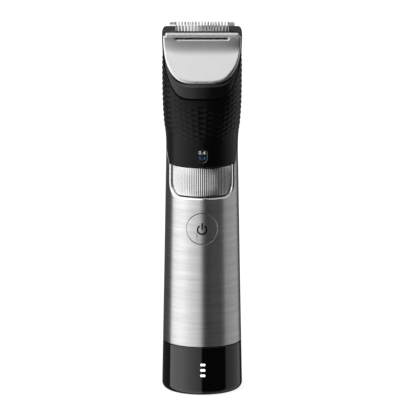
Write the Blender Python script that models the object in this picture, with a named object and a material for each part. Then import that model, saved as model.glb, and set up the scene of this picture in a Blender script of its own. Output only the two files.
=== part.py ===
"""Cordless beard trimmer, standing upright on its base.

Units in the tables below are millimetres; MM turns them into Blender's metres.
+Z is up, the trimmer's front faces -Y, and the origin is the centre of the base.

The head is sliced by a slope that leans back from the vertical by SLOPE_DEG. Everything
there is placed with two slope coordinates: v runs up along the slope and w stands out of
it, towards the front. The comb slides along v, and the blades lie flat in v and x.
"""

import math

import bmesh
import bpy
from mathutils import Vector

MM = 0.001

# ---------------------------------------------------------------- driving dimensions
GAP = 0.3                       # between pieces that nearly touch
SEGMENTS = 48                   # around the body
BODY_PROFILE = [                # (height, radius) of the outer form
    (3.2, 19.05), (23.5, 18.66), (62.0, 17.93), (96.0, 17.34), (117.0, 17.0),
    (122.5, 17.15), (130.0, 17.85), (139.0, 18.4), (150.0, 18.6), (178.0, 18.8),
]
HEAD_DEPTH = 17.2               # half depth of the head, front to back
WAIST_Z = 117.0                 # below it the form is round
HEAD_Z = 146.0                  # above it the form is a soft square
HEAD_SQUARENESS = 2.5           # superellipse exponent of the head
DOME_Z = 150.0                  # where the back of the head starts to curve over
DOME_TOP = 174.2

CAP_TOP = 23.4                  # seam between the base cap and the steel sleeve
SLEEVE_BOTTOM = 23.8
SLEEVE_WALL = 1.2
COLLAR_FRONT = 110.2            # lower edge of the head housing over the wheel
COLLAR_BACK = 116.0             # and round the sides and the back
COLLAR_START = 65.5             # degrees from the front where that edge starts to rise
COLLAR_END = 82.0

WINDOW_BOTTOM = 95.2            # opening for the wheel in the sleeve
WINDOW_HALF = 14.3
WINDOW_CORNER = 5.6

WHEEL_BOTTOM = 95.7
WHEEL_TOP = 109.8
WHEEL_RADIUS = 15.8
WHEEL_BORE = 14.3
WHEEL_RIBS = 54
RIB_DEPTH = 0.3
RIB_BEVEL = 0.4
WHEEL_TURN = 322.0              # degrees: 23 clicks of 14 from the shortest to the longest cut
LUG_REST_Z = 98.2               # the comb lifter's lug, which rides in the wheel's groove
LUG_HALF = 0.5
GROOVE_HALF = 0.75
GROOVE_RADIUS = 15.0
GROOVE_END = 7.0                # degrees of level groove past each end

FRAME_SCREWS = {"left": (-11.0, -9.0), "right": (11.0, -9.0)}   # (x, y) under the collar

BUTTON_Z = 80.7
BUTTON_RADIUS = 7.25

WINDOW_Z = 115.8                # centre of the scale window
LENS_SIZE = (5.0, 7.1)

LIGHTS_Z = (9.9, 12.5, 15.1)   # battery lights in the cap
LIGHT_SIZE = (2.9, 1.6)

SLOPE_DEG = 27.0
DECK_W = 78.05                  # the housing's sloping seat for the comb
COMB_W = 78.35                  # underside of the comb carrier
FACE_W = 82.65                  # front of the comb's face plate
LEDGE_V = 120.2                 # foot of the comb, on the housing's ledge
FOOT_FLAT = 7.4                 # the comb's foot: half its flat, its corner, its flaring sides
FOOT_RADIUS = 6.0
FOOT_FLARE_DEG = 58.0
COMB_TRAVEL = 4.6               # along the slope
COMB_HALF = 12.9                # half width of the comb's tooth opening
ROLL_CENTRE = (150.05, 84.35)   # the face plate's top edge is rolled, in v and w
ROLL_RADIUS = 1.15
PLATE_THICK = 0.8
PLATE_BOTTOM = 126.7
TOOTH_PITCH = 1.55
CUTTER_PITCH = 1.36

LIFT_PIN = (-4.7, 142.7)        # (y, z) of the lifter's pins at rest
PIVOT_V = 139.0                 # the drive lever's pivot
FINGER_V = 150.0                # where the lever drives the cutter
CRANK_THROW = 0.7
SHAFT_TOP = 137.0

SIN = math.sin(math.radians(SLOPE_DEG))
COS = math.cos(math.radians(SLOPE_DEG))
LIFT = COMB_TRAVEL * COS        # upward travel of the comb lifter

MATERIALS = {                   # name: (colour, roughness, metallic)
    "brushed_steel": ((0.62, 0.62, 0.63), 0.3, 1.0),
    "polished_steel": ((0.8, 0.8, 0.81), 0.08, 1.0),
    "blade_steel": ((0.66, 0.67, 0.69), 0.22, 1.0),
    "zinc_steel": ((0.5, 0.5, 0.52), 0.35, 1.0),
    "gloss_black": ((0.012, 0.012, 0.013), 0.12, 0.0),
    "satin_black": ((0.02, 0.02, 0.021), 0.4, 0.0),
    "inner_plastic": ((0.09, 0.09, 0.1), 0.55, 0.0),
    "white_light": ((0.9, 0.9, 0.92), 0.4, 0.0),
    "clear_lens": ((0.02, 0.02, 0.022), 0.05, 0.0),
    "scale_black": ((0.01, 0.01, 0.011), 0.5, 0.0),
    "board_green": ((0.02, 0.16, 0.08), 0.5, 0.0),
    "cell_wrap": ((0.03, 0.16, 0.4), 0.4, 0.0),
    "seal_rubber": ((0.03, 0.03, 0.03), 0.8, 0.0),
    "copper": ((0.72, 0.45, 0.2), 0.3, 1.0),
}


# ---------------------------------------------------------------- scene and mesh helpers
def clear_scene():
    for obj in list(bpy.data.objects):
        bpy.data.objects.remove(obj)


def material(name):
    found = bpy.data.materials.get(name)
    if found:
        return found
    colour, roughness, metallic = MATERIALS[name]
    made = bpy.data.materials.new(name)
    made.use_nodes = True
    shader = made.node_tree.nodes["Principled BSDF"]
    shader.inputs["Base Color"].default_value = (*colour, 1.0)
    shader.inputs["Roughness"].default_value = roughness
    shader.inputs["Metallic"].default_value = metallic
    return made


def solid(name, points, faces, finish=None):
    """An object from points in millimetres, its faces turned outwards."""
    mesh = bpy.data.meshes.new(name)
    work = bmesh.new()
    corners = [work.verts.new(Vector(p) * MM) for p in points]
    for face in faces:
        work.faces.new([corners[i] for i in face])
    bmesh.ops.recalc_face_normals(work, faces=work.faces)
    work.to_mesh(mesh)
    work.free()
    obj = bpy.data.objects.new(name, mesh)
    bpy.context.scene.collection.objects.link(obj)
    if finish:
        mesh.materials.append(material(finish))
        mesh.shade_smooth()
        mesh.set_sharp_from_angle(angle=math.radians(35))
    return obj


def loft(name, rings, finish=None, closed=False):
    """Skins a list of equal rings; closed joins the last ring to the first."""
    count = len(rings[0])
    points = [p for ring in rings for p in ring]
    steps = len(rings) if closed else len(rings) - 1
    faces = []
    for r in range(steps):
        low, high = r * count, (r + 1) % len(rings) * count
        for i in range(count):
            j = (i + 1) % count
            faces.append((low + i, low + j, high + j, high + i))
    if not closed:
        faces.append(tuple(range(count)))
        faces.append(tuple(range((len(rings) - 1) * count, len(rings) * count)))
    return solid(name, points, faces, finish)


def prism(name, outline, place, low, high, finish=None):
    """Extrudes a flat outline from low to high; place puts (a, b, height) in space."""
    rings = [[place(a, b, h) for a, b in outline] for h in (low, high)]
    return loft(name, rings, finish)


def lathe(name, profile, finish=None, segments=SEGMENTS):
    """Turns a closed (radius, height) outline about Z; every radius is above zero."""
    rings = []
    for k in range(segments):
        turn = 2 * math.pi * k / segments
        rings.append([(r * math.cos(turn), r * math.sin(turn), z) for r, z in profile])
    return loft(name, rings, finish, closed=True)


def helper(obj):
    obj.hide_render = True
    obj.display_type = "WIRE"
    return obj


def combine(target, other, operation):
    step = target.modifiers.new(other.name, "BOOLEAN")
    step.operation = operation
    step.solver = "EXACT"
    step.object = helper(other)
    return target


def cut(target, *others):
    for other in others:
        combine(target, other, "DIFFERENCE")
    return target


def keep(target, *others):
    for other in others:
        combine(target, other, "INTERSECT")
    return target


def join(target, *others):
    for other in others:
        combine(target, other, "UNION")
    return target


# ---------------------------------------------------------------- placing and outlines
def plan(x, y, height):
    """Outline in x and y, extruded upwards."""
    return (x, y, height)


def front(x, z, depth):
    """Outline in x and z, extruded along y."""
    return (x, depth, z)


def side(y, z, across):
    """Outline in y and z, extruded along x."""
    return (across, y, z)


def slope(x, v, w):
    """A point on the head's slope; as an outline in x and v, extruded along w."""
    return (x, v * SIN - w * COS, v * COS + w * SIN)


def slope_side(v, w, across):
    """Outline in v and w, extruded along x."""
    return slope(across, v, w)


def box_outline(a_low, a_high, b_low, b_high):
    return [(a_low, b_low), (a_high, b_low), (a_high, b_high), (a_low, b_high)]


def round_outline(radius, count=20, centre=(0.0, 0.0)):
    turns = [2 * math.pi * k / count for k in range(count)]
    return [
        (centre[0] + radius * math.cos(t), centre[1] + radius * math.sin(t)) for t in turns
    ]


def soft_box(half_a, half_b, radius, centre=(0.0, 0.0), steps=4):
    """A rectangle with round corners."""
    outline = []
    for quarter in range(4):
        turn = math.pi / 2 * quarter
        corner_a = (half_a - radius) * (1 if quarter in (0, 3) else -1)
        corner_b = (half_b - radius) * (1 if quarter in (0, 1) else -1)
        for k in range(steps + 1):
            t = turn + math.pi / 2 * k / steps
            outline.append((
                centre[0] + corner_a + radius * math.cos(t),
                centre[1] + corner_b + radius * math.sin(t),
            ))
    return outline


def arc(centre, radius, start_deg, end_deg, steps):
    turns = [math.radians(start_deg + (end_deg - start_deg) * k / steps) for k in range(steps + 1)]
    return [(centre[0] + radius * math.cos(t), centre[1] + radius * math.sin(t)) for t in turns]


def ease(t):
    t = min(1.0, max(0.0, t))
    return t * t * (3 - 2 * t)


# ---------------------------------------------------------------- the outer form
def body_radius(z):
    """Half width of the form at a height: a smooth curve through BODY_PROFILE."""
    table = BODY_PROFILE
    if z <= table[0][0]:
        return table[0][1]
    if z >= table[-1][0]:
        return table[-1][1]
    i = max(k for k in range(len(table) - 1) if table[k][0] <= z)

    def slope_at(k):
        low, high = table[max(k - 1, 0)], table[min(k + 1, len(table) - 1)]
        return (high[1] - low[1]) / (high[0] - low[0])

    (z0, r0), (z1, r1) = table[i], table[i + 1]
    span = z1 - z0
    t = (z - z0) / span
    return (
        r0 * (1 + 2 * t) * (1 - t) ** 2
        + r1 * t * t * (3 - 2 * t)
        + slope_at(i) * span * t * (1 - t) ** 2
        - slope_at(i + 1) * span * t * t * (1 - t)
    )


def section(z, inset=0.0, dome=True, count=SEGMENTS):
    """The form's outline at a height, moved inwards by inset."""
    head = ease((z - WAIST_Z) / (HEAD_Z - WAIST_Z))
    power = 2.0 / (2.0 + (HEAD_SQUARENESS - 2.0) * head)
    half_width = body_radius(z) - inset
    half_front = half_width + (HEAD_DEPTH - inset - half_width) * head
    half_back = half_front
    if dome and z > DOME_Z:
        rise = (z - DOME_Z) / (DOME_TOP - DOME_Z)
        half_back *= math.sqrt(max(0.0, 1 - rise * rise)) + 0.02
        half_width -= 2.2 * rise ** 3
    points = []
    for k in range(count):
        t = 2 * math.pi * k / count
        c, s = math.cos(t), math.sin(t)
        depth = half_back if s > 0 else half_front
        points.append((
            half_width * math.copysign(abs(c) ** power, c),
            depth * math.copysign(abs(s) ** power, s),
            z,
        ))
    return points


def collar_edge(turn):
    """Height of the edge between the sleeve and the head; turn is 0 at the front."""
    away = abs(math.degrees(math.atan2(math.sin(turn), math.cos(turn))))
    share = min(max((away - COLLAR_START) / (COLLAR_END - COLLAR_START), 0.0), 1.0)
    return COLLAR_FRONT + (COLLAR_BACK - COLLAR_FRONT) * (1 - (1 - share) ** 1.5)


def front_turn(k, count=SEGMENTS):
    """Angle from the front of the k-th point of a section."""
    return 2 * math.pi * k / count + math.pi / 2


# ---------------------------------------------------------------- base
def make_base_cap():
    foot, wall_top = 15.9, 28.0
    edge_radius = body_radius(0.0) - foot
    profile = [(0.5, 0.0), (foot, 0.0)]
    profile += arc((foot, edge_radius), edge_radius, -72, 0, 4)
    profile += [(body_radius(CAP_TOP), CAP_TOP - 0.2), (body_radius(CAP_TOP) - 0.2, CAP_TOP)]
    profile += [(17.3, CAP_TOP), (17.3, 25.0), (16.6, 25.0), (16.6, 26.4), (17.3, 26.4)]
    profile += [(17.3, wall_top), (15.9, wall_top), (15.9, 22.0), (17.2, 20.5), (17.2, 3.6)]
    profile += [(15.6, 2.0), (0.5, 2.0)]
    cap = lathe("base_cap", profile, "gloss_black")
    cut(cap, prism("socket_opening", soft_box(4.9, 3.4, 1.6), plan, -5.0, 5.0))
    for z in LIGHTS_Z:
        pill = soft_box(LIGHT_SIZE[0] / 2 + 0.2, LIGHT_SIZE[1] / 2 + 0.2, 0.95, (0, z), 3)
        cut(cap, prism(f"light_opening_{z:.0f}", pill, front, -25.0, -10.0))
    return cap


def make_socket():
    block = prism("socket_insert", soft_box(4.6, 3.1, 1.4), plan, 0.8, 10.0, "satin_black")
    cut(block, prism("socket_recess", soft_box(3.8, 2.3, 1.2), plan, -2.0, 8.0))
    for name, x in (("socket_pin_left", -1.9), ("socket_pin_right", 1.9)):
        prism(name, round_outline(0.55, 10, (x, 0)), plan, 2.6, 7.7, "zinc_steel")


def make_lights():
    guide = prism("light_guide", box_outline(-2.6, 2.6, 7.6, 18.0), front, -16.6, -15.2, "white_light")
    for z in LIGHTS_Z:
        pill = soft_box(LIGHT_SIZE[0] / 2, LIGHT_SIZE[1] / 2, 0.78, (0, z), 3)
        join(guide, prism(f"light_pip_{z:.0f}", pill, front, -18.95, -16.0))
    prism("indicator_board", box_outline(-6.0, 6.0, 6.0, 20.0), front, -13.6, -12.6, "board_green")
    for place, z in zip(("lower", "middle", "upper"), LIGHTS_Z):
        outline = box_outline(-1.0, 1.0, z - 0.6, z + 0.6)
        prism(f"led_{place}", outline, front, -14.8, -13.9, "white_light")


def make_seal():
    lathe("base_seal", arc((17.03, 25.7), 0.36, 0, 300, 5), "seal_rubber", 32)


# ---------------------------------------------------------------- sleeve and its insides
def make_sleeve():
    heights = [0.0, 0.12, 0.3, 0.5, 0.68, 0.84, 1.0]
    columns = []
    for k in range(SEGMENTS):
        turn = 2 * math.pi * k / SEGMENTS
        top = collar_edge(turn + math.pi / 2) - GAP
        levels = [SLEEVE_BOTTOM + (top - SLEEVE_BOTTOM) * h for h in heights]
        outer = [(body_radius(z), z) for z in levels]
        inner = [(body_radius(z) - SLEEVE_WALL, z) for z in reversed(levels)]
        columns.append([(r * math.cos(turn), r * math.sin(turn), z) for r, z in outer + inner])
    sleeve = loft("steel_sleeve", columns, "brushed_steel", closed=True)
    opening = arc((-WINDOW_HALF + WINDOW_CORNER, WINDOW_BOTTOM + WINDOW_CORNER), WINDOW_CORNER, 180, 270, 6)
    opening += arc((WINDOW_HALF - WINDOW_CORNER, WINDOW_BOTTOM + WINDOW_CORNER), WINDOW_CORNER, 270, 360, 6)
    opening += [(WINDOW_HALF + 0.9, 125.0), (-WINDOW_HALF - 0.9, 125.0)]
    cut(sleeve, prism("wheel_window", opening, front, -25.0, -3.0))
    hole = round_outline(BUTTON_RADIUS + GAP, 32, (0, BUTTON_Z))
    cut(sleeve, prism("button_opening", hole, front, -25.0, -8.0))
    return sleeve


def make_inner_frame():
    """The tray that holds the cell and the board, closed by a disc at each end."""
    outside, inside = 15.5, 14.3
    rear = arc((0, 0), outside, -20, 200, 22) + arc((0, 0), inside, 200, -20, 22)
    tray = prism("inner_frame", rear, plan, 28.6, 92.0, "inner_plastic")
    join(tray, prism("frame_foot", round_outline(outside - 0.05, 36), plan, 28.5, 30.4))
    join(tray, prism("frame_top", round_outline(outside - 0.05, 36), plan, 90.3, 92.4))
    cut(tray, prism("wire_passage", round_outline(4.0, 16, (0, 3)), plan, 88.0, 95.0))
    cut(tray, prism("lower_wire_passage", round_outline(3.0, 16, (0, -9)), plan, 26.0, 32.0))
    for place, spot in FRAME_SCREWS.items():
        cut(tray, prism(f"frame_hole_{place}", round_outline(1.0, 12, spot), plan, 84.0, 96.0))
    return tray


def make_power_pack():
    """Rechargeable cell of 18 x 50 mm with its welded tabs, and the main board."""
    centre = (0.0, 4.7)
    profile = [(0.4, 33.0), (8.6, 33.0), (9.1, 33.5), (9.1, 82.0), (8.4, 82.4), (4.0, 82.4)]
    cell = lathe("battery_cell", profile + [(4.0, 83.2), (0.4, 83.2)], "cell_wrap", 32)
    cell.location.y = centre[1] * MM
    prism("battery_tab_positive", box_outline(-2.0, 2.0, -5.0, 7.0), plan, 83.5, 83.8, "zinc_steel")
    prism("battery_tab_negative", box_outline(-2.0, 2.0, -5.0, 7.0), plan, 32.4, 32.7, "zinc_steel")
    prism("main_board", box_outline(-10.0, 10.0, 34.0, 89.4), front, -6.6, -5.4, "board_green")
    prism("controller_chip", box_outline(-3.5, 3.5, 56.0, 63.0), front, -8.2, -6.9, "satin_black")
    prism("charge_chip", box_outline(-2.5, 2.5, 42.0, 46.0), front, -8.0, -6.9, "satin_black")
    switch = box_outline(-3.0, 3.0, BUTTON_Z - 3, BUTTON_Z + 3)
    prism("power_switch", switch, front, -9.9, -6.9, "zinc_steel")


def make_button():
    """The steel cap of the power button and the plunger behind it, with their fixed guide."""
    rings = [[(p[0], p[1], p[2]) for p in section(z, 0.02)] for z in (70.0, 76.0, 81.0, 86.0, 93.0)]
    cap = loft("power_button", rings, "brushed_steel")
    bore = lathe("button_back", [(0.3, 66.0), (16.4, 66.0), (16.2, 97.0), (0.3, 97.0)])
    cut(cap, bore)
    keep(cap, prism("button_round", round_outline(BUTTON_RADIUS, 32, (0, BUTTON_Z)), front, -25.0, -10.0))
    spot = (0, BUTTON_Z)
    plunger = prism("button_plunger", round_outline(4.6, 20, spot), front, -15.35, -14.5, "inner_plastic")
    join(plunger, prism("plunger_stem", round_outline(1.6, 12, spot), front, -15.0, -10.6))
    guide = prism("button_guide", box_outline(-9.0, 9.0, 72.6, 89.8), front, -12.4, -11.3, "inner_plastic")
    cut(guide, prism("guide_hole", round_outline(2.1, 14, spot), front, -15.0, -8.0))
    make_coil("button_spring", 2.9, 0.28, (-12.75, -13.65), 1.5)


def make_coil(name, radius, wire, ends, turns):
    """A compression spring around the button's axis."""
    steps = 14
    path = []
    for k in range(int(steps * turns) + 1):
        t = 2 * math.pi * k / steps
        y = ends[0] + (ends[1] - ends[0]) * k / (steps * turns)
        path.append((radius * math.cos(t), y, BUTTON_Z + radius * math.sin(t)))
    return wire_object(name, path, wire, "zinc_steel", 1)


def wire_object(name, path, radius, finish, resolution=2):
    curve = bpy.data.curves.new(name, "CURVE")
    curve.dimensions = "3D"
    curve.bevel_depth = radius * MM
    curve.bevel_resolution = resolution
    curve.use_fill_caps = True
    line = curve.splines.new("POLY")
    line.points.add(len(path) - 1)
    for point, place in zip(line.points, path):
        point.co = (*(Vector(place) * MM), 1.0)
    curve.materials.append(material(finish))
    obj = bpy.data.objects.new(name, curve)
    bpy.context.scene.collection.objects.link(obj)
    return obj


# ---------------------------------------------------------------- length wheel
def make_neck_collar():
    """The tube on which the wheel turns; its inner lip carries the head frame."""
    profile = [
        (12.9, 92.8), (15.7, 92.8), (15.7, 94.4), (14.0, 94.4), (14.0, 110.0),
        (10.9, 110.0), (10.9, 108.6), (12.9, 108.6),
    ]
    collar = lathe("neck_collar", profile, "inner_plastic", 48)
    for x in (-12.0, 12.0):
        cut(collar, prism(f"arm_slot_{x:.0f}", box_outline(x - 1.2, x + 1.0, -3.0, 3.0)
                          if x > 0 else box_outline(x - 1.0, x + 1.2, -3.0, 3.0), plan, 107.0, 112.0))
    lug = box_outline(-1.5, 1.5, 97.0, 104.0)
    cut(collar, prism("lug_slot", lug, front, -20.0, -12.0))
    for place, spot in FRAME_SCREWS.items():
        cut(collar, prism(f"collar_hole_{place}", round_outline(1.0, 12, spot), plan, 90.0, 93.9))
        screw = prism(f"frame_screw_{place}", round_outline(0.7, 10, spot), plan, 89.5, 93.6, "zinc_steel")
        join(screw, prism(f"frame_screw_head_{place}", round_outline(1.15, 12, spot), plan, 88.6, 90.0))


def groove_height(turn_deg):
    """Middle of the cam groove where it meets the lug after the wheel has turned that far."""
    return LUG_REST_Z + LIFT * min(1.0, max(0.0, turn_deg / WHEEL_TURN))


def make_wheel():
    """Ribbed ring with a helical groove inside it, which lifts the comb lifter's lug."""
    columns = []
    for k in range(2 * WHEEL_RIBS):
        turn = 180.0 * k / WHEEL_RIBS
        back = (-90.0 - turn + GROOVE_END) % 360.0 - GROOVE_END
        middle = groove_height(back)
        deep = GROOVE_RADIUS if back <= WHEEL_TURN + GROOVE_END else WHEEL_BORE + 0.05
        if back > WHEEL_TURN + GROOVE_END:
            middle = LUG_REST_Z + LIFT * (360.0 - GROOVE_END - back) / (360.0 - WHEEL_TURN - 2 * GROOVE_END)
        low, high = middle - GROOVE_HALF, middle + GROOVE_HALF
        outer = WHEEL_RADIUS - (RIB_DEPTH if k % 2 else 0.0)
        outline = [
            (WHEEL_BORE, WHEEL_BOTTOM), (outer - RIB_BEVEL, WHEEL_BOTTOM), (outer, WHEEL_BOTTOM + RIB_BEVEL),
            (outer, WHEEL_TOP - RIB_BEVEL), (outer - RIB_BEVEL, WHEEL_TOP), (WHEEL_BORE, WHEEL_TOP),
            (WHEEL_BORE, high), (deep, high), (deep, low), (WHEEL_BORE, low),
        ]
        c, s = math.cos(math.radians(turn)), math.sin(math.radians(turn))
        columns.append([(r * c, r * s, z) for r, z in outline])
    loft("zoom_wheel", columns, "brushed_steel", closed=True)


def make_scale_ring():
    profile = [(14.3, 110.1), (15.0, 110.1), (15.0, 120.6), (14.3, 120.6)]
    lathe("scale_ring", profile, "scale_black", 48)
    washer = [(14.4, 94.7), (15.6, 94.7), (15.6, 95.1), (14.4, 95.1)]
    lathe("click_washer", washer, "zinc_steel", 36)


def make_comb_lifter():
    """Ring inside the collar; its lug rides in the wheel's groove, its arms push the comb."""
    profile = [(11.3, 96.8), (12.6, 96.8), (12.6, 99.8), (11.3, 99.8)]
    ring = lathe("comb_lifter", profile, "inner_plastic", 40)
    lug = box_outline(-1.0, 1.0, LUG_REST_Z - LUG_HALF, LUG_REST_Z + LUG_HALF)
    join(ring, prism("lifter_lug", lug, front, -14.75, -11.9))
    pin_y, pin_z = LIFT_PIN
    for sign in (-1, 1):
        outline = [(2.4, 98.0), (2.4, 140.0), (-1.0, pin_z + 1.6), (pin_y - 1.5, pin_z + 1.6),
                   (pin_y - 1.5, pin_z - 1.8), (-2.4, 136.5), (-2.4, 98.0)]
        near, far = sorted((sign * 11.3, sign * 12.55))
        join(ring, prism(f"lifter_arm_{sign}", outline, side, near, far))
        near, far = sorted((sign * 9.0, sign * 11.9))
        pin = round_outline(0.9, 12, (pin_y, pin_z))
        join(ring, prism(f"lifter_pin_{sign}", pin, side, near, far))
    return ring


# ---------------------------------------------------------------- motor
def make_motor():
    can = soft_box(9.0, 7.0, 3.0)
    prism("motor_can", can, plan, 104.0, 130.1, "zinc_steel")
    prism("motor_end_cap", soft_box(8.8, 6.8, 2.9), plan, 100.8, 103.7, "satin_black")
    disc = [(x, y) for x, y, _ in section(131.0, 2.2)]
    frame = prism("head_frame", disc, plan, 130.4, 132.4, "inner_plastic")
    for y in (-1, 1):
        low, high = sorted((y * 10.9, y * 12.6))
        join(frame, prism(f"pillar_{y}", box_outline(-4.0, 4.0, low, high), plan, 110.3, 131.0))
        cut(frame, prism(f"motor_screw_hole_{y}", round_outline(1.1, 12, (0, y * 5.0)), plan, 128.0, 135.0))
    cut(frame, prism("shaft_hole", round_outline(2.4, 20), plan, 128.0, 135.0))
    for x in (-1, 1):
        low, high = sorted((x * 10.8, x * 13.1))
        cut(frame, prism(f"arm_passage_{x}", box_outline(low, high, -7.0, 3.0), plan, 128.0, 135.0))
    for place, y in (("front", -5.0), ("rear", 5.0)):
        shank = round_outline(0.8, 10, (0, y))
        screw = prism(f"motor_screw_{place}", shank, plan, 130.5, 133.2, "zinc_steel")
        join(screw, prism(f"motor_screw_head_{place}", round_outline(1.6, 14, (0, y)), plan, 132.7, 133.7))
    prism("motor_shaft", round_outline(1.0, 16), plan, 130.4, SHAFT_TOP - 0.6, "zinc_steel")
    cam = prism("eccentric_cam", round_outline(3.0, 24), plan, 133.9, SHAFT_TOP, "copper")
    cut(cam, prism("cam_bore", round_outline(1.3, 16), plan, 130.0, SHAFT_TOP - 0.3))
    join(cam, prism("crank_pin", round_outline(0.5, 12, (0, -CRANK_THROW)), plan, SHAFT_TOP - 0.2, 142.0))


def make_drive_lever():
    """Swings on the pivot pin: the motor's crank rocks its fork, its finger moves the cutter."""
    leg_outline = [(-3.3, 138.4), (2.0, 138.4), (2.0, 152.0), (0.2, 156.4), (-3.3, 156.4)]
    lever = prism("drive_lever", leg_outline, side, -3.2, 3.2, "inner_plastic")
    keep(lever, prism("lever_limit", [(100, 60), (160, 60), (160, 73.7), (100, 73.7)], slope_side, -10, 10))
    plate = [(-3.0, 136.2), (3.0, 136.2), (3.0, 141.5), (1.2, 144.5), (1.2, 151.0), (-1.2, 151.0),
             (-1.2, 144.5), (-3.0, 141.5)]
    join(lever, prism("lever_plate", plate, slope, 71.9, 73.7))
    finger = box_outline(-1.0, 1.0, FINGER_V - 0.9, FINGER_V + 0.9)
    join(lever, prism("lever_finger", finger, slope, 72.5, 75.0))
    cut(lever, prism("fork_slot", box_outline(-2.05, 2.05, 130.0, 144.5), front, -8.0, 8.0))
    cut(lever, prism("pivot_hole", round_outline(1.1, 16, (0, PIVOT_V)), slope, 64.0, 80.0))
    cut(lever, prism("pin_head_room", round_outline(2.1, 18, (0, PIVOT_V)), slope, 60.0, 71.85))
    pin = prism("lever_pivot_pin", round_outline(0.8, 14, (0, PIVOT_V)), slope, 70.9, 76.5, "zinc_steel")
    join(pin, prism("pivot_pin_head", round_outline(1.7, 16, (0, PIVOT_V)), slope, 70.4, 71.5))


# ---------------------------------------------------------------- blades
def tooth_row(half_width, back_v, root_v, tip_v, pitch, count, width, tip_width):
    """Outline in x and v of a blade: a plate with count teeth, tips up."""
    outline = [(half_width, back_v)]
    first = (count - 1) / 2 * pitch
    for k in range(count):
        x = first - k * pitch
        outline += [
            (x + width / 2, root_v), (x + tip_width / 2, tip_v),
            (x - tip_width / 2, tip_v), (x - width / 2, root_v),
        ]
    return outline + [(-half_width, back_v)]


def make_blades():
    end_in, end_out, tip = 12.05, 15.4, 158.0
    inner = tooth_row(end_in, 142.0, 156.3, tip, TOOTH_PITCH, 15, 0.6, 0.34)[1:-1]
    outline = [(end_out, 142.0), (end_out, tip - 0.9), (end_out - 0.7, tip), (end_in, tip), (end_in, 156.3)]
    outline += inner
    outline += [(-x, v) for x, v in reversed(outline[:5])]
    guard = prism("stationary_blade", outline, slope, 76.95, 77.9, "blade_steel")
    thin_tip = [(130, 76.0), (170, 76.0), (170, 77.1), (158.6, 77.15), (155.4, 78.6), (130, 78.6)]
    keep(guard, prism("blade_grind", thin_tip, slope_side, -20.0, 20.0))

    cutter = tooth_row(11.6, 146.0, 155.6, 157.4, CUTTER_PITCH, 17, 0.6, 0.3)
    cutter = [cutter[0], (11.6, 155.6)] + cutter[1:-1] + [(-11.6, 155.6), cutter[-1]]
    prism("cutter_blade", cutter, slope, 75.9, 76.65, "blade_steel")

    bar = box_outline(-9.0, 9.0, 146.4, 152.6)
    carriage = prism("cutter_carriage", bar, slope, 74.0, 75.6, "inner_plastic")
    slot = box_outline(-1.3, 1.3, FINGER_V - 1.4, FINGER_V + 1.4)
    cut(carriage, prism("finger_slot", slot, slope, 73.0, 77.0))


def make_blade_holder():
    """The plastic bed of the blades: two cheeks joined by a bridge over the lever."""
    outline = [(-15.5, 134.8), (15.5, 134.8), (15.5, 152.6), (12.6, 152.6), (12.6, 142.6),
               (-12.6, 142.6), (-12.6, 152.6), (-15.5, 152.6)]
    holder = prism("blade_holder", outline, slope, 71.6, 76.6, "satin_black")
    cut(holder, prism("lever_space", box_outline(-7.5, 7.5, 130.0, 146.0), slope, 68.0, 74.4))
    cut(holder, prism("bridge_hole", round_outline(1.1, 16, (0, PIVOT_V)), slope, 70.0, 80.0))
    for x in (-14.0, 14.0):
        hole = round_outline(0.95, 12, (x, 144.5))
        cut(holder, prism(f"blade_screw_hole_{x:.0f}", hole, slope, 68.0, 80.0))
    for place, x in (("left", -14.0), ("right", 14.0)):
        shank = round_outline(0.65, 10, (x, 144.5))
        screw = prism(f"blade_screw_{place}", shank, slope, 70.9, 76.5, "zinc_steel")
        head = round_outline(1.5, 14, (x, 144.5))
        join(screw, prism(f"blade_screw_head_{place}", head, slope, 70.2, 71.3))

    half = [
        (6.0, 149.0, 73.3), (6.6, 146.0, 72.6), (7.0, 142.0, 70.6), (6.6, 139.4, 67.6),
        (5.2, 138.4, 65.2),
    ]
    mirrored = [slope(-x, v, w) for x, v, w in reversed(half)]
    path = [slope(*p) for p in half] + [slope(0, 138.1, 64.2)] + mirrored
    wire_object("blade_spring", path, 0.35, "zinc_steel", 1)


# ---------------------------------------------------------------- head housing
def make_head_housing():
    def rim(inset):
        edges = [collar_edge(front_turn(k)) for k in range(SEGMENTS)]
        return [section(z, inset)[k] for k, z in enumerate(edges)]

    levels = [118.5, 121.0, 124.5, 128.0, 132.0, 136.0, 140.0, 146.0, 150.0,
              155.0, 160.0, 164.0, 167.5, 170.0, 172.0, 173.4, 174.1]
    rings = [section(119.6, 1.4), rim(1.4), rim(0.0)] + [section(z) for z in levels]
    housing = loft("head_housing", rings, "satin_black")
    cut(housing, comb_outline("above_deck", 19.5, LEDGE_V, 190.0, 2.6, DECK_W, GAP))
    wall, deck_wall = 1.7, 1.6
    inside = [section(z, wall) for z in (117.6, 124.1, 132.1, 140.1, 150.1, 158.0, 164.0, 168.0, 171.0)]
    cavity = loft("head_cavity", inside)
    under_deck = DECK_W - deck_wall
    keep(cavity, prism("cavity_limit", [(60, 20), (170, 20), (170, under_deck), (60, under_deck)],
                       slope_side, -40.0, 40.0))
    cut(housing, cavity)
    cut(housing, prism("blade_opening", box_outline(-15.8, 15.8, 134.5, 170.0), slope, 71.2, 82.0))
    for sign in (-1, 1):
        low, high = sorted((sign * 8.8, sign * 11.2))
        cut(housing, prism(f"rail_slot_{sign}", box_outline(low, high, 121.8, 134.9), slope, 74.0, 82.0))
    window = soft_box(LENS_SIZE[0] / 2 + 0.25, LENS_SIZE[1] / 2 + 0.25, 2.2, (0, WINDOW_Z))
    cut(housing, prism("lens_opening", window, front, -25.0, -12.0))
    profile = [(15.75, 108.0), (16.85, 108.0), (16.75, 124.0), (15.75, 124.0)]
    lens = lathe("display_lens", profile, "clear_lens", 72)
    keep(lens, prism("lens_outline", soft_box(LENS_SIZE[0] / 2, LENS_SIZE[1] / 2, 2.0, (0, WINDOW_Z)),
                     front, -25.0, -12.0))


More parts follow.
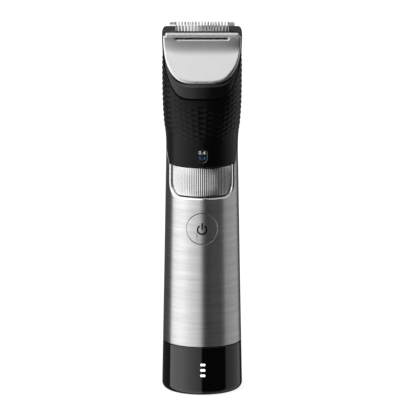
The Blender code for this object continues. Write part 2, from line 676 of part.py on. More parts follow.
# ---------------------------------------------------------------- comb
def face_profile():
    """The face plate's front, in v and w: flat, then a scoop that ends in a round roll."""
    scoop_start, scoop_radius = 143.0, 9.0
    scoop = [
        (scoop_start + scoop_radius * math.sin(t), FACE_W + scoop_radius * (1 - math.cos(t)))
        for t in (math.radians(a) for a in (0, 8, 16, 24, 31))
    ]
    roll = arc(ROLL_CENTRE, ROLL_RADIUS, 165, -70, 9)
    return scoop, roll


def comb_form(name, proud):
    """The head's form, a little proud of the housing, from which the comb is cut."""
    levels = (136.0, 143.0, 150.0, 157.0, 164.0, 171.0, 180.0)
    return loft(name, [section(z, -proud, dome=False) for z in levels])


def comb_outline(name, half_width, bottom_v, top_v, corner, low_w=60.0, margin=0.0):
    """The comb seen square to the slope: a flat foot that rounds into flaring sides."""
    foot = arc((FOOT_FLAT, bottom_v + FOOT_RADIUS), FOOT_RADIUS + margin, -90, FOOT_FLARE_DEG - 90, 4)
    flare = half_width + margin - foot[-1][0]
    flare_v = foot[-1][1] + flare * math.tan(math.radians(FOOT_FLARE_DEG))
    top = arc((half_width - corner, top_v - corner), corner + margin, 0, 90, 5)
    right = foot + [(half_width + margin, flare_v)] + top
    return prism(name, right + [(-x, v) for x, v in reversed(right)], slope, low_w, 95.0)


def make_comb_carrier():
    seat = FACE_W - PLATE_THICK - 0.12
    outline = [
        (LEDGE_V, COMB_W), (155.8, COMB_W), (155.8, 80.4), (154.6, 81.3), (151.2, 81.7),
        (148.4, seat + 0.9), (146.4, seat + 0.3), (143.0, seat),
        (PLATE_BOTTOM - 0.4, seat), (PLATE_BOTTOM - 0.5, 95.0), (LEDGE_V, 95.0),
    ]
    carrier = prism("comb_carrier", outline, slope_side, -30.0, 30.0, "satin_black")
    keep(carrier, comb_form("carrier_form", 0.25))
    keep(carrier, comb_outline("carrier_outline", 18.9, LEDGE_V, 155.8, 2.6))
    cut(carrier, prism("tooth_opening", box_outline(-COMB_HALF, COMB_HALF, 146.6, 170.0), slope, 70.0, 95.0))
    pin_y, pin_z = LIFT_PIN
    shift = COMB_TRAVEL * SIN
    for sign in (-1, 1):
        low, high = sorted((sign * 9.3, sign * 10.8))
        rail = prism(f"comb_rail_{sign}", box_outline(122.4, 129.0, 66.5, 78.9), slope_side, low, high)
        slot = box_outline(pin_y - shift - 1.25, pin_y + 1.25, pin_z - 1.25, pin_z + 1.25)
        cut(rail, prism(f"rail_pin_slot_{sign}", slot, side, -20.0, 20.0))
        join(carrier, rail)
    return carrier


def make_face_plate():
    scoop, roll = face_profile()
    top = [(PLATE_BOTTOM, FACE_W)] + scoop + roll
    under = [(149.9, ROLL_CENTRE[1] - 1.05)]
    under += [(v, w - PLATE_THICK) for v, w in reversed(scoop)]
    under += [(PLATE_BOTTOM, FACE_W - PLATE_THICK)]
    plate = prism("comb_face_plate", top + under, slope_side, -30.0, 30.0, "polished_steel")
    keep(plate, comb_form("plate_form", 0.05))
    keep(plate, comb_outline("plate_outline", 18.6, PLATE_BOTTOM, 151.6, 2.2))
    slot = soft_box(COMB_HALF - 0.5, 0.55, 0.5, (0, 148.5))
    cut(plate, prism("face_slot", slot, slope, 70.0, 95.0))
    return plate


def make_comb_teeth():
    """The steel comb: bars rise from a foot, then bend over the blade's teeth."""
    outline = tooth_row(12.6, 147.0, 148.3, 158.4, TOOTH_PITCH, 17, 0.62, 0.4)
    comb = prism("comb_teeth", outline, slope, 77.5, 84.0, "blade_steel")
    shape = [(146.0, 78.5), (158.0, 78.45), (158.5, 78.9), (158.2, 79.9), (157.0, 80.9), (154.8, 81.7),
             (151.0, 82.1), (148.6, 82.2), (146.0, 81.3)]
    keep(comb, prism("comb_shape", shape, slope_side, -20.0, 20.0))
    return comb


def main():
    clear_scene()
    make_base_cap()
    make_socket()
    make_lights()
    make_seal()
    make_sleeve()
    make_inner_frame()
    make_power_pack()
    make_button()
    make_neck_collar()
    make_wheel()
    make_scale_ring()
    make_comb_lifter()
    make_motor()
    make_drive_lever()
    make_blades()
    make_blade_holder()
    make_head_housing()
    make_comb_carrier()
    make_face_plate()
    make_comb_teeth()


main()
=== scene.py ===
"""Looks of the cordless beard trimmer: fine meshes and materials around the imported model.

Lengths are millimetres, turned into metres by MM. The front faces -Y. Angles called turn
are measured from the front, positive towards +X. On the sloping head, v runs up along the
slope and w stands out of it, as in the CAD.
"""

from math import acos, cos, degrees, hypot, pi, radians, sin

import bmesh
import bpy
import numpy as np
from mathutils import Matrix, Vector


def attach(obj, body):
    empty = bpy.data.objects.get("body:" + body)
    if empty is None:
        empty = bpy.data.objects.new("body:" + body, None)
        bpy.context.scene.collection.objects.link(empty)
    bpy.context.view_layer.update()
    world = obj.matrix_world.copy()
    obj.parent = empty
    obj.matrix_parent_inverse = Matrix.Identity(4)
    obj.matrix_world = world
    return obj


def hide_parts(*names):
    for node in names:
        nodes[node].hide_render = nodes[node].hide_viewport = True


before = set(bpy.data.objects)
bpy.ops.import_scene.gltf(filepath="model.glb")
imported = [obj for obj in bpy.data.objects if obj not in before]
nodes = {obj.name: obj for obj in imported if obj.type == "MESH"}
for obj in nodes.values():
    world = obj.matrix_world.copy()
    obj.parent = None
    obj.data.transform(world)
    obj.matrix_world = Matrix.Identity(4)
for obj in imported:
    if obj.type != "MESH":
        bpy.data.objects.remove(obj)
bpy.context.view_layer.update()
scene = bpy.context.scene

MM = 0.001

# ---- sizes shared with the CAD
BODY_PROFILE = [
    (3.2, 19.05), (23.5, 18.66), (62.0, 17.93), (96.0, 17.34), (117.0, 17.0),
    (122.5, 17.15), (130.0, 17.85), (139.0, 18.4), (150.0, 18.6), (178.0, 18.8),
]
HEAD_DEPTH = 17.2
WAIST_Z, HEAD_Z, HEAD_SQUARENESS = 117.0, 146.0, 2.5
DOME_Z, DOME_TOP, DOME_NARROWING, DOME_REST = 150.0, 174.2, 2.2, 0.02
GAP = 0.3
CAP_TOP, SLEEVE_BOTTOM, SLEEVE_WALL = 23.4, 23.8, 1.2
COLLAR_FRONT, COLLAR_BACK, COLLAR_START, COLLAR_END = 110.2, 116.0, 65.5, 82.0
SLOPE = radians(27.0)
SIN, COS = sin(SLOPE), cos(SLOPE)
DECK_W, COMB_W, FACE_W = 78.05, 78.35, 82.65
PROUD, PLATE_THICK = 0.25, 0.8
CARRIER_CURVE = [
    (0.0, 119.3), (5.5, 119.45), (8.7, 120.05), (11.9, 122.0), (14.2, 125.3), (16.1, 129.1),
    (17.7, 134.6), (18.5, 141.8), (18.9, 150.0),
]
PLATE_CURVE = [
    (0.0, 126.5), (5.5, 126.65), (8.5, 127.2), (11.1, 128.4), (13.5, 130.6), (15.7, 133.9),
    (17.2, 138.0), (18.1, 143.5), (18.5, 149.6),
]
TOOTH_PITCH, BLADE_PITCH = 1.55, 1.36
BUTTON_Z, BUTTON_RADIUS = 80.7, 7.25
LENS_Z, LENS_SIZE = 115.8, (4.6, 6.5)
LIGHTS_Z, DOT_X, DOT_RADIUS, DOT_REACH = (9.9, 12.5, 15.1), 0.35, 0.61, 0.54
ROLL_CENTRE, ROLL_RADIUS = (149.75, 84.4), 1.2
SLOT_V, SLOT_HALF, SLOT_HEIGHT = 148.55, 12.2, 0.8
WINDOW_ROUND = 1.25
GRIP_TURN, GRIP_RISE, GRIP_START, GRIP_HEIGHT = 2 * pi / 20, 2.53, 127.7, 0.37
LIFT_PIN, COMB_TRAVEL = (-4.7, 142.7), 4.6
NUMBER_HEIGHT, NUMBER_RADIUS, NUMBER_THICK = 1.8, 15.02, 0.05


# ---- shader helpers
class Nodes:
    """A node tree under construction."""

    def __init__(self, tree):
        self.tree = tree

    def node(self, kind, **values):
        """A new node; each value is an attribute of it or the default of an input."""
        made = self.tree.nodes.new("ShaderNode" + kind)
        for key, value in values.items():
            if hasattr(made, key):
                setattr(made, key, value)
            else:
                made.inputs[key.replace("_", " ")].default_value = value
        return made

    def link(self, out, into):
        self.tree.links.new(out, into)

    def axes(self, coordinates):
        """The X, Y and Z outputs of one kind of texture coordinates."""
        place, split = self.node("TexCoord"), self.node("SeparateXYZ")
        self.link(place.outputs[coordinates], split.inputs[0])
        return split.outputs

    def maths(self, operation, *values):
        """A calculation with numbers and outputs of other nodes."""
        made = self.node("Math", operation=operation)
        for socket, value in zip(made.inputs, values):
            if isinstance(value, float):
                socket.default_value = value
            else:
                self.link(value, socket)
        return made.outputs[0]


class Shader(Nodes):
    """A node material under construction."""

    def __init__(self, name, colour, roughness, metallic=0.0, **sockets):
        self.material = bpy.data.materials.new(name)
        self.material.use_nodes = True
        super().__init__(self.material.node_tree)
        self.surface = self.tree.nodes["Principled BSDF"]
        self.set("Base Color", (*colour, 1.0))
        self.set("Roughness", roughness)
        self.set("Metallic", metallic)
        for socket, value in sockets.items():
            self.set(socket.replace("_", " "), value)
        self.height = None

    def set(self, socket, value):
        self.surface.inputs[socket].default_value = value

    def noise(self, stretch, detail=3.0, rough=0.55, seed=0.0):
        """Noise in the piece's own coordinates; stretch is its scale along x, y and z per mm."""
        place = self.node("TexCoord")
        shift = (seed, seed * 0.7, seed * 1.3)
        scale = self.node("Mapping", Scale=[s / MM for s in stretch], Location=shift)
        self.link(place.outputs["Object"], scale.inputs["Vector"])
        pattern = self.node("TexNoise", Scale=1.0, Detail=detail, Roughness=rough)
        self.link(scale.outputs["Vector"], pattern.inputs["Vector"])
        return pattern.outputs["Fac"]

    def spread(self, value, low, high):
        """Maps a 0 to 1 pattern's middle range to low and high."""
        change = self.node("MapRange", From_Min=0.25, From_Max=0.75, To_Min=low, To_Max=high)
        self.link(value, change.inputs["Value"])
        return change.outputs["Result"]

    def vary_roughness(self, pattern, low, high):
        self.link(self.spread(pattern, low, high), self.surface.inputs["Roughness"])
        return self

    def vary_colour(self, pattern, dark, light):
        mix = self.node("Mix", data_type="RGBA")
        mix.inputs[6].default_value = (*dark, 1.0)
        mix.inputs[7].default_value = (*light, 1.0)
        self.link(self.spread(pattern, 0.0, 1.0), mix.inputs[0])
        self.link(mix.outputs[2], self.surface.inputs["Base Color"])
        return self

    def bump(self, pattern, depth_mm):
        """Adds a relief of that depth; a second call lies on top of the first."""
        relief = self.node("Bump", Strength=1.0, Distance=depth_mm * MM)
        self.link(pattern, relief.inputs["Height"])
        if self.height:
            self.link(self.height, relief.inputs["Normal"])
        self.height = relief.outputs["Normal"]
        self.link(self.height, self.surface.inputs["Normal"])
        return self

    def crown(self, radius_mm, middle_mm):
        """Turns the shading as if the face were slightly convex across X."""
        across = self.maths("SUBTRACT", self.axes("Object")["X"], middle_mm * MM)
        square = self.maths("POWER", across, 2.0)
        return self.bump(self.maths("DIVIDE", square, -2.0 * radius_mm * MM), 1.0 / MM)

    def brushed(self, rotation):
        """Stretches the highlight across brushing that runs round the Z axis."""
        tangent = self.node("Tangent", direction_type="RADIAL", axis="Z")
        self.link(tangent.outputs["Tangent"], self.surface.inputs["Tangent"])
        self.set("Anisotropic Rotation", rotation)
        return self


def steel(name):
    """Steel brushed round the body, in fine level lines."""
    colour, roughness, streak_tone = (0.84, 0.84, 0.845), 0.4, 0.775
    made = Shader(name, colour, roughness, 1.0, Anisotropic=0.95).brushed(0.25)
    fine = made.noise((0.03, 0.03, 9.0), 2.0, 0.6)
    broad = made.noise((0.02, 0.02, 1.6), 2.0, 0.5, 5.0)
    made.vary_roughness(broad, roughness - 0.03, roughness + 0.04)
    streak = [c * streak_tone for c in colour]
    made.vary_colour(made.noise((0.05, 0.05, 0.7), 3.0, 0.55, 9.0), streak, colour)
    made.bump(fine, 0.001)
    return made.material


def polished(name, colour, roughness):
    made = Shader(name, colour, roughness, 1.0)
    made.vary_roughness(made.noise((0.5, 0.5, 0.5), 3.0), roughness * 0.7, roughness * 1.5)
    made.bump(made.noise((6.0, 6.0, 6.0), 2.0), 0.0006)
    return made.material


def satin_metal(name, colour, roughness):
    made = Shader(name, colour, roughness, 1.0)
    made.vary_roughness(made.noise((0.2, 0.2, 0.2), 2.0), roughness - 0.015, roughness + 0.015)
    made.bump(made.noise((14.0, 14.0, 14.0), 1.0), 0.0002)
    return made.material


def ground_steel(name, colour, roughness, crowned=False):
    """Blade steel with fine upright grinding marks; crowned shades it as slightly convex."""
    along = (9.0, 0.3, 0.3)
    made = Shader(name, colour, roughness, 1.0)
    if crowned:
        made.crown(60.0, -3.5)
    made.vary_roughness(made.noise((0.4, 0.4, 0.4), 3.0), roughness - 0.06, roughness + 0.08)
    made.vary_colour(made.noise(along, 3.0, 0.6), [c * 0.85 for c in colour], colour)
    made.bump(made.noise(along, 2.0, 0.6, 3.0), 0.002)
    return made.material


def moulded(name, colour, roughness, grain=0.004, grain_size=7.0, light=1.6, **sockets):
    """Moulded plastic with a fine spark-eroded grain and faint handling marks."""
    made = Shader(name, colour, roughness, 0.0, **sockets)
    marks = made.noise((0.08, 0.08, 0.05), 4.0, 0.6)
    made.vary_roughness(marks, roughness - 0.04, roughness + 0.05)
    made.vary_colour(made.noise((0.3, 0.3, 0.3), 3.0, 0.5, 4.0), colour, [c * light for c in colour])
    made.bump(made.noise((grain_size, grain_size, grain_size), 2.0, 0.5), grain)
    return made.material


def glowing(name, colour, strength):
    made = Shader(name, colour, 0.35, Emission_Color=(*colour, 1.0), Emission_Strength=strength)
    made.bump(made.noise((4.0, 4.0, 4.0), 2.0), 0.001)
    return made.material


FINISH = {
    "sleeve": steel("brushed_sleeve"),
    "button": steel("brushed_button"),
    "wheel": satin_metal("wheel_steel", (0.8, 0.8, 0.805), 0.24),
    "bright": polished("polished_edge", (0.86, 0.86, 0.865), 0.1),
    "chrome": satin_metal("satin_chrome", (0.83, 0.83, 0.835), 0.26),
    "rim": polished("polished_rim", (0.88, 0.88, 0.885), 0.3),
    "roll": satin_metal("satin_roll", (0.84, 0.84, 0.845), 0.42),
    "blade": ground_steel("ground_blade", (0.68, 0.69, 0.7), 0.16, crowned=True),
    # The cutter steel also darkens the comb bars' bent tips, as painted shade.
    "cutter": ground_steel("cutter_steel_and_bar_tip_shade", (0.34, 0.34, 0.35), 0.3),
    # The comb bar steel also darkens the fixed blade's teeth and ends, as painted shade.
    "comb_steel": ground_steel("comb_bar_steel_and_blade_shade", (0.56, 0.56, 0.57), 0.3),
    "gloss": moulded("gloss_black", (0.0012, 0.0012, 0.0013), 0.06, 0.0002, 3.0, 1.2, IOR=1.68),
    "head": moulded("grip_black", (0.0009, 0.0009, 0.001), 0.3, 0.0015, 8.0,
                    Specular_IOR_Level=0.22, Sheen_Weight=0.05, Sheen_Roughness=0.4),
    "comb": moulded("comb_black", (0.0015, 0.0015, 0.0016), 0.27, 0.0006, 8.0,
                    Specular_IOR_Level=0.6),
    "satin": moulded("satin_black_plastic", (0.018, 0.018, 0.019), 0.45),
    "inner": moulded("inner_grey_plastic", (0.08, 0.08, 0.085), 0.5),
    "plated": polished("nickel_plating", (0.62, 0.62, 0.63), 0.24),
    # This matt black is also on the comb frame's edge band, back and sides, where it is painted shade
    # for the gap between comb and head.
    "ink_black": moulded("symbol_ink_and_gap_shade", (0.001, 0.001, 0.001), 0.7, 0.001, 9.0,
                         Specular_IOR_Level=0.02),
    "print_ring": moulded("ring_black", (0.008, 0.008, 0.008), 0.5, 0.001, 9.0),
    "white_digits": glowing("digit_white", (0.9, 0.92, 0.95), 0.6),
    "blue_digits": glowing("digit_blue", (0.02, 0.17, 0.42), 0.55),
    "pip": glowing("pip_white", (0.95, 0.96, 1.0), 0.9),
    "board": moulded("board_green", (0.012, 0.11, 0.05), 0.4, 0.002, 3.0),
    "cell": moulded("cell_wrap", (0.02, 0.11, 0.3), 0.35, 0.001, 5.0),
    "rubber": moulded("seal_rubber", (0.02, 0.02, 0.02), 0.8, 0.006, 5.0),
    "zinc": polished("zinc_can", (0.52, 0.53, 0.55), 0.34),
    "brass": polished("cam_brass", (0.72, 0.5, 0.22), 0.25),
    "lens": moulded("window_lens", (0.012, 0.012, 0.013), 0.06, 0.0003, 2.0, 1.2, Alpha=0.18),
}


# ---- mesh helpers
def piece(name, points, faces, finishes, marks=None, sharp=35.0):
    """An object from points in mm; marks gives each face the number of its finish's word."""
    mesh = bpy.data.meshes.new(name)
    mesh.from_pydata([tuple(p) for p in np.asarray(points, float) * MM], [], faces)
    for finish in finishes.split():
        mesh.materials.append(FINISH[finish])
    if marks is not None:
        mesh.polygons.foreach_set("material_index", np.asarray(marks, np.int32))
    work = bmesh.new()
    work.from_mesh(mesh)
    bmesh.ops.recalc_face_normals(work, faces=work.faces)
    work.to_mesh(mesh)
    work.free()
    obj = bpy.data.objects.new(name, mesh)
    scene.collection.objects.link(obj)
    shade(obj, sharp)
    return obj


def shade(obj, sharp=35.0):
    obj.data.shade_smooth()
    obj.data.set_sharp_from_angle(angle=radians(sharp))


def skin(rings, closed=False):
    """Points and faces over a stack of equal rings; closed joins the last to the first."""
    rings = np.asarray(rings, float)
    levels, count = rings.shape[:2]
    faces = []
    for r in range(levels if closed else levels - 1):
        low, high = r * count, (r + 1) % levels * count
        for i in range(count):
            j = (i + 1) % count
            faces.append((low + i, low + j, high + j, high + i))
    if not closed:
        faces.append(tuple(range(count)))
        faces.append(tuple(range((levels - 1) * count, levels * count)))
    return rings.reshape(-1, 3), faces


def loft(name, rings, finishes, closed=False, sharp=35.0):
    points, faces = skin(rings, closed)
    return piece(name, points, faces, finishes, sharp=sharp)


def lathe(name, profile, finishes, segments):
    """Turns a closed outline of (radius, height) about Z."""
    rings = []
    for k in range(segments):
        t = 2 * pi * k / segments
        rings.append([(r * cos(t), r * sin(t), z) for r, z in profile])
    return loft(name, rings, finishes, closed=True)


def prism(name, outline, place, low, high, finishes, bevel=0.0):
    """Extrudes a flat outline; a bevel rounds its two end faces in two steps."""
    steps = [(0.0, 0.0)] if not bevel else [(bevel, 0.0), (bevel * 0.3, bevel * 0.3), (0.0, bevel)]
    levels = [(inset, low + up) for inset, up in steps]
    levels += [(inset, high - up) for inset, up in reversed(steps)]
    rings = [[place(a, b, h) for a, b in grown(outline, -inset)] for inset, h in levels]
    return loft(name, rings, finishes)


def grown(outline, margin):
    """An outline moved outwards by a margin, corner by corner."""
    if not margin:
        return outline
    shape = np.asarray(outline, float)
    before, after = shape - np.roll(shape, 1, 0), np.roll(shape, -1, 0) - shape
    area = np.sum(shape[:, 0] * np.roll(shape[:, 1], -1) - np.roll(shape[:, 0], -1) * shape[:, 1])
    side_in = before / np.linalg.norm(before, axis=1)[:, None]
    side_out = after / np.linalg.norm(after, axis=1)[:, None]
    turned = np.stack([side_in[:, 1] + side_out[:, 1], -side_in[:, 0] - side_out[:, 0]], 1)
    length = np.linalg.norm(turned, axis=1)[:, None]
    turned = turned / length * (2.0 / np.maximum(length, 0.6))
    return [tuple(p) for p in shape + turned * margin * (1 if area > 0 else -1)]


def boolean(obj, tools, operation, sharp=35.0, weighted=True):
    """Applies cutters or limits to a piece; a tool's own finish marks the faces that it makes."""
    for tool in tools:
        step = obj.modifiers.new("shape", "BOOLEAN")
        step.operation = operation
        step.solver = "EXACT"
        step.material_mode = "TRANSFER"
        step.object = tool
    graph = bpy.context.evaluated_depsgraph_get()
    mesh = bpy.data.meshes.new_from_object(obj.evaluated_get(graph), depsgraph=graph)
    obj.modifiers.clear()
    obj.data = mesh
    for tool in tools:
        bpy.data.objects.remove(tool)
    shade(obj, sharp)
    if weighted:
        tidy = obj.modifiers.new("normals", "WEIGHTED_NORMAL")
        tidy.keep_sharp = True
    return obj


def cut(obj, *tools, **how):
    return boolean(obj, tools, "DIFFERENCE", **how)


def keep(obj, *tools, **how):
    return boolean(obj, tools, "INTERSECT", **how)


def join(obj, *tools, **how):
    return boolean(obj, tools, "UNION", **how)


def mount(obj, body, slot, *replaced):
    """Gives a piece its body and hides the CAD nodes that it stands for; the slot is not used."""
    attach(obj, body)
    if replaced:
        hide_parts(*replaced)
    return obj


# ---- places and outlines
def plan(x, y, height):
    return (x, y, height)


def front(x, z, depth):
    return (x, depth, z)


def side(y, z, across):
    return (across, y, z)


def slope(x, v, w):
    return (x, v * SIN - w * COS, v * COS + w * SIN)


def slope_side(v, w, across):
    return slope(across, v, w)


def arc(centre, radius, start, end, steps):
    turns = [radians(start + (end - start) * k / steps) for k in range(steps + 1)]
    return [(centre[0] + radius * cos(t), centre[1] + radius * sin(t)) for t in turns]


def circle(radius, count, centre):
    return arc(centre, radius, 0, 360 - 360 / count, count - 1)


def rectangle(a_low, a_high, b_low, b_high):
    return [(a_low, b_low), (a_high, b_low), (a_high, b_high), (a_low, b_high)]


def soft_box(half_a, half_b, radius, centre=(0.0, 0.0), steps=10):
    """A rectangle with round corners."""
    a, b = half_a - radius, half_b - radius
    outline = []
    for quarter, (sa, sb) in enumerate(((1, 1), (-1, 1), (-1, -1), (1, -1))):
        spot = (centre[0] + sa * a, centre[1] + sb * b)
        outline += arc(spot, radius, quarter * 90, quarter * 90 + 90, steps)
    return outline


def ease(value, start, span):
    """Runs smoothly from 0 to 1 while value runs over the span that begins at start."""
    t = np.clip((value - start) / span, 0.0, 1.0)
    return t * t * (3 - 2 * t)


# ---- the outer form
def body_radius(z):
    """Half width of the form at heights z: the CAD's smooth curve through BODY_PROFILE."""
    heights, radii = np.array(BODY_PROFILE).T
    places = np.arange(len(heights))
    z = np.clip(np.asarray(z, float), heights[0], heights[-1])
    i = np.clip(np.searchsorted(heights, z, "right") - 1, 0, places[-1] - 1)
    low, high = np.maximum(places - 1, 0), np.minimum(places + 1, places[-1])
    slopes = (radii[high] - radii[low]) / (heights[high] - heights[low])
    span = heights[i + 1] - heights[i]
    t = (z - heights[i]) / span
    return (
        radii[i] * (1 + 2 * t) * (1 - t) ** 2 + radii[i + 1] * t * t * (3 - 2 * t)
        + slopes[i] * span * t * (1 - t) ** 2 - slopes[i + 1] * span * t * t * (1 - t)
    )


def section(z, inset):
    """Half width, half depth and exponent of the form's level outline, moved in by an inset."""
    head = ease(z, WAIST_Z, HEAD_Z - WAIST_Z)
    half_width = body_radius(z) - inset
    half_depth = half_width + (HEAD_DEPTH - inset - half_width) * head
    return half_width, half_depth, 2.0 + (HEAD_SQUARENESS - 2.0) * head


def form(turns, z, inset=0.0):
    """Points of the outer form at angles from the front and heights, both arrays."""
    turns, z = np.broadcast_arrays(np.asarray(turns, float), np.asarray(z, float))
    half_width, half_depth, exponent = section(z, inset)
    rise = np.clip((z - DOME_Z) / (DOME_TOP - DOME_Z), 0.0, 1.0)
    dome = np.sqrt(1 - rise * rise) + DOME_REST
    half_back = np.where(z > DOME_Z, half_depth * dome, half_depth)
    half_width = half_width - DOME_NARROWING * rise ** 3
    s, c = np.sin(turns), np.cos(turns)
    depth = np.where(c < 0, half_back, half_depth)
    x = half_width * np.sign(s) * np.abs(s) ** (2.0 / exponent)
    y = -depth * np.sign(c) * np.abs(c) ** (2.0 / exponent)
    return np.stack([x, y, z], -1)


def around(count):
    return np.arange(count) * 2 * pi / count


def degrees_away(turns):
    """How far angles lie from the front, to either side."""
    return np.abs(np.degrees(np.arctan2(np.sin(turns), np.cos(turns))))


def collar_edge(turns):
    """Height of the seam between sleeve and head: level at the front, higher at the back."""
    away = degrees_away(turns)
    climb = np.clip((away - COLLAR_START) / (COLLAR_END - COLLAR_START), 0.0, 1.0)
    return COLLAR_FRONT + (COLLAR_BACK - COLLAR_FRONT) * (1 - (1 - climb) ** 1.5)


def divided(outline, step=0.8):
    """An outline with its long straight sides cut into short ones, so that it can bend."""
    points = []
    for (ax, ay), (bx, by) in zip(outline, list(outline[1:]) + [outline[0]]):
        count = max(1, round(hypot(bx - ax, by - ay) / step))
        points += [(ax + (bx - ax) * k / count, ay + (by - ay) * k / count) for k in range(count)]
    return points


def hugging_cutter(name, outline, depths, finishes):
    """A cutter whose rings lie at depths under the round body, each grown by its margin.

    The outline is in distance round the body from the front and height.
    """
    rings = []
    for depth, margin in depths:
        shape = np.asarray(grown(divided(outline), margin))
        radius = body_radius(shape[:, 1]) + depth
        turn = shape[:, 0] / body_radius(shape[:, 1])
        rings.append(np.stack([radius * np.sin(turn), -radius * np.cos(turn), shape[:, 1]], 1))
    return loft(name, rings, finishes)


# ---- base
def make_base():
    """The cap: a round foot, a spigot with a seal groove inside the sleeve, and a hollow."""
    axis_hole, foot, rim, floor_top = 0.5, 15.9, 0.25, 2.0
    spigot, spigot_top, groove, bore, room = 17.3, 28.0, 16.6, 15.9, 17.2
    edge = body_radius(0.0) - foot
    top = body_radius(CAP_TOP)
    profile = [(axis_hole, 0.0), (foot, 0.0)] + arc((foot, edge), edge, -85, 0, 14)
    profile += [(body_radius(z), z) for z in (6.0, 10.0, 14.0, 18.0, 21.0)]
    profile += arc((top - rim, CAP_TOP - rim), rim, 0, 90, 4)
    profile += [(spigot, CAP_TOP), (spigot, 25.0), (groove, 25.0), (groove, 26.4), (spigot, 26.4)]
    profile += [(spigot, spigot_top), (bore, spigot_top), (bore, 22.0), (room, 20.5), (room, 3.6)]
    profile += [(15.6, floor_top), (axis_hole, floor_top)]
    cap = lathe("base_shell", profile, "gloss", 256)
    tools = [prism("socket_opening", soft_box(4.9, 3.4, 1.6), plan, -5.0, 5.0, "gloss")]
    for z in LIGHTS_Z:
        tools.append(prism("light_opening", double_dot(0.1, z), front, -25.0, -10.0, "gloss"))
    cut(cap, *tools)
    return mount(cap, "body", "gloss_black", "base_cap")


def double_dot(margin, z):
    """Two round dots that run into each other, side by side."""
    radius = DOT_RADIUS + margin
    meet = degrees(acos(DOT_REACH / radius))
    right = arc((DOT_REACH, 0), radius, meet - 180, 180 - meet, 24)
    return [(DOT_X + sign * x, z + sign * up) for sign in (1, -1) for x, up in right[:-1]]


def make_lights():
    """Each light is a double dot of white plastic with a soft crown, set in the cap."""
    front_y = -body_radius(LIGHTS_Z[1])
    steps = ((0.0, -16.7), (0.0, front_y + 0.15), (0.06, front_y + 0.06), (0.04, front_y + 0.02))
    for place, z in zip(("low", "mid", "top"), LIGHTS_Z):
        rings = [[front(a, b, y) for a, b in double_dot(-inset, z)] for inset, y in steps]
        mount(loft(f"light_pip_{place}", rings, "pip"), "body", "light_lens")
    back = prism("light_bar", rectangle(-2.6, 2.6, 7.6, 18.0), front, -16.6, -15.2, "pip", 0.2)
    mount(back, "body", "light_lens", "light_guide")


# ---- sleeve, wheel, button
def window_outline():
    """The wheel's opening, in distance round the body and height: a U with round corners."""
    half, corner, bottom, top = 18.3, 6.6, 95.4, 130.0
    outline = arc((-half + corner, bottom + corner), corner, 180, 270, 16)
    outline += arc((half - corner, bottom + corner), corner, 270, 360, 16)
    return outline + [(half, top), (-half, top)]


def make_sleeve():
    """The tube, with a rounded edge round the wheel's opening and a hole for the button."""
    turns, shares = around(288), np.linspace(0.0, 1.0, 41)
    top_edge, foot_edge, foot_drop, button_gap = 0.1, 0.3, 0.16, 0.4
    columns = []
    for turn, high in zip(turns, collar_edge(turns) - GAP):
        levels = SLEEVE_BOTTOM + foot_edge + (high - SLEEVE_BOTTOM - foot_edge - top_edge) * shares
        outer = [(body_radius(SLEEVE_BOTTOM) - foot_drop, SLEEVE_BOTTOM)]
        outer += list(zip(body_radius(levels), levels))
        outer += [(body_radius(high) - top_edge, high)]
        inner = [(body_radius(z) - SLEEVE_WALL, z) for z in (high, 90.0, 60.0, SLEEVE_BOTTOM)]
        columns.append([(r * sin(turn), -r * cos(turn), z) for r, z in outer + inner])
    sleeve = loft("steel_body", columns, "sleeve", closed=True)
    turned = [radians(a) for a in range(0, 73, 12)]
    edge_round = [(WINDOW_ROUND * (sin(t) - 0.95), WINDOW_ROUND * (1 - cos(t))) for t in turned]
    depths = [(-5.0, 0.0), *edge_round, (0.3, WINDOW_ROUND), (1.0, 2.2), (30.0, 2.2)]
    opening = hugging_cutter("window", window_outline(), depths, "bright")
    hole = circle(BUTTON_RADIUS + button_gap, 96, (0, BUTTON_Z))
    depths = [(-5.0, 0.0), (-0.04, 0.0), (0.0, 0.04), (0.5, 0.3)]
    cut(sleeve, opening, hugging_cutter("button_hole", hole, depths, "sleeve"), sharp=25.0)
    return mount(sleeve, "body", "brushed_steel", "steel_sleeve")


def make_wheel():
    """The ring, with fine upright grooves round it and bevelled edges."""
    ribs, outer, bore = 108, 15.8, 14.3
    bottom, top, bevel, depth, groove_share = 95.7, 109.8, 0.45, 0.155, 0.34
    per_rib = 10
    columns = []
    for k in range(ribs * per_rib):
        turn = 2 * pi * k / (ribs * per_rib)
        share = (k % per_rib) / per_rib
        groove = depth * max(0.0, 1 - abs(share - 0.5) / groove_share)
        profile = [(bore, bottom), (outer - bevel - 0.1, bottom)]
        profile += [(outer - bevel * 0.3, bottom + bevel * 0.3), (outer, bottom + bevel)]
        wall = [(outer - groove, z) for z in (bottom + bevel + 0.5, 100.0, 105.0, top - bevel - 0.5)]
        profile += wall + [(outer, top - bevel), (outer - bevel * 0.3, top - bevel * 0.3)]
        profile += [(outer - bevel - 0.1, top), (bore, top)]
        columns.append([(r * sin(turn), -r * cos(turn), z) for r, z in profile])
    wheel = loft("length_wheel", columns, "wheel", closed=True, sharp=50.0)
    return mount(wheel, "wheel", "wheel_steel", "zoom_wheel")


def make_scale_ring():
    """The ring behind the window; every second click, and the last, has a length in both rows."""
    profile = rectangle(14.3, 14.95, 110.1, 120.6)
    mount(lathe("number_ring", profile, "print_ring", 192), "wheel", "scale_black", "scale_ring")
    last_click, click_turn, click_length = 23, radians(14.0), 0.2
    for name, shortest, z in (("white", 0.4, 116.9), ("blue", 5.4, 114.25)):
        points, faces = [], []
        for click in (*range(0, 21, 2), last_click):
            words = f"{shortest + click_length * click:.1f}"
            add_number(points, faces, words, -click * click_turn, z)
        mount(piece(f"numbers_{name}", points, faces, f"{name}_digits"), "wheel", "scale_black")


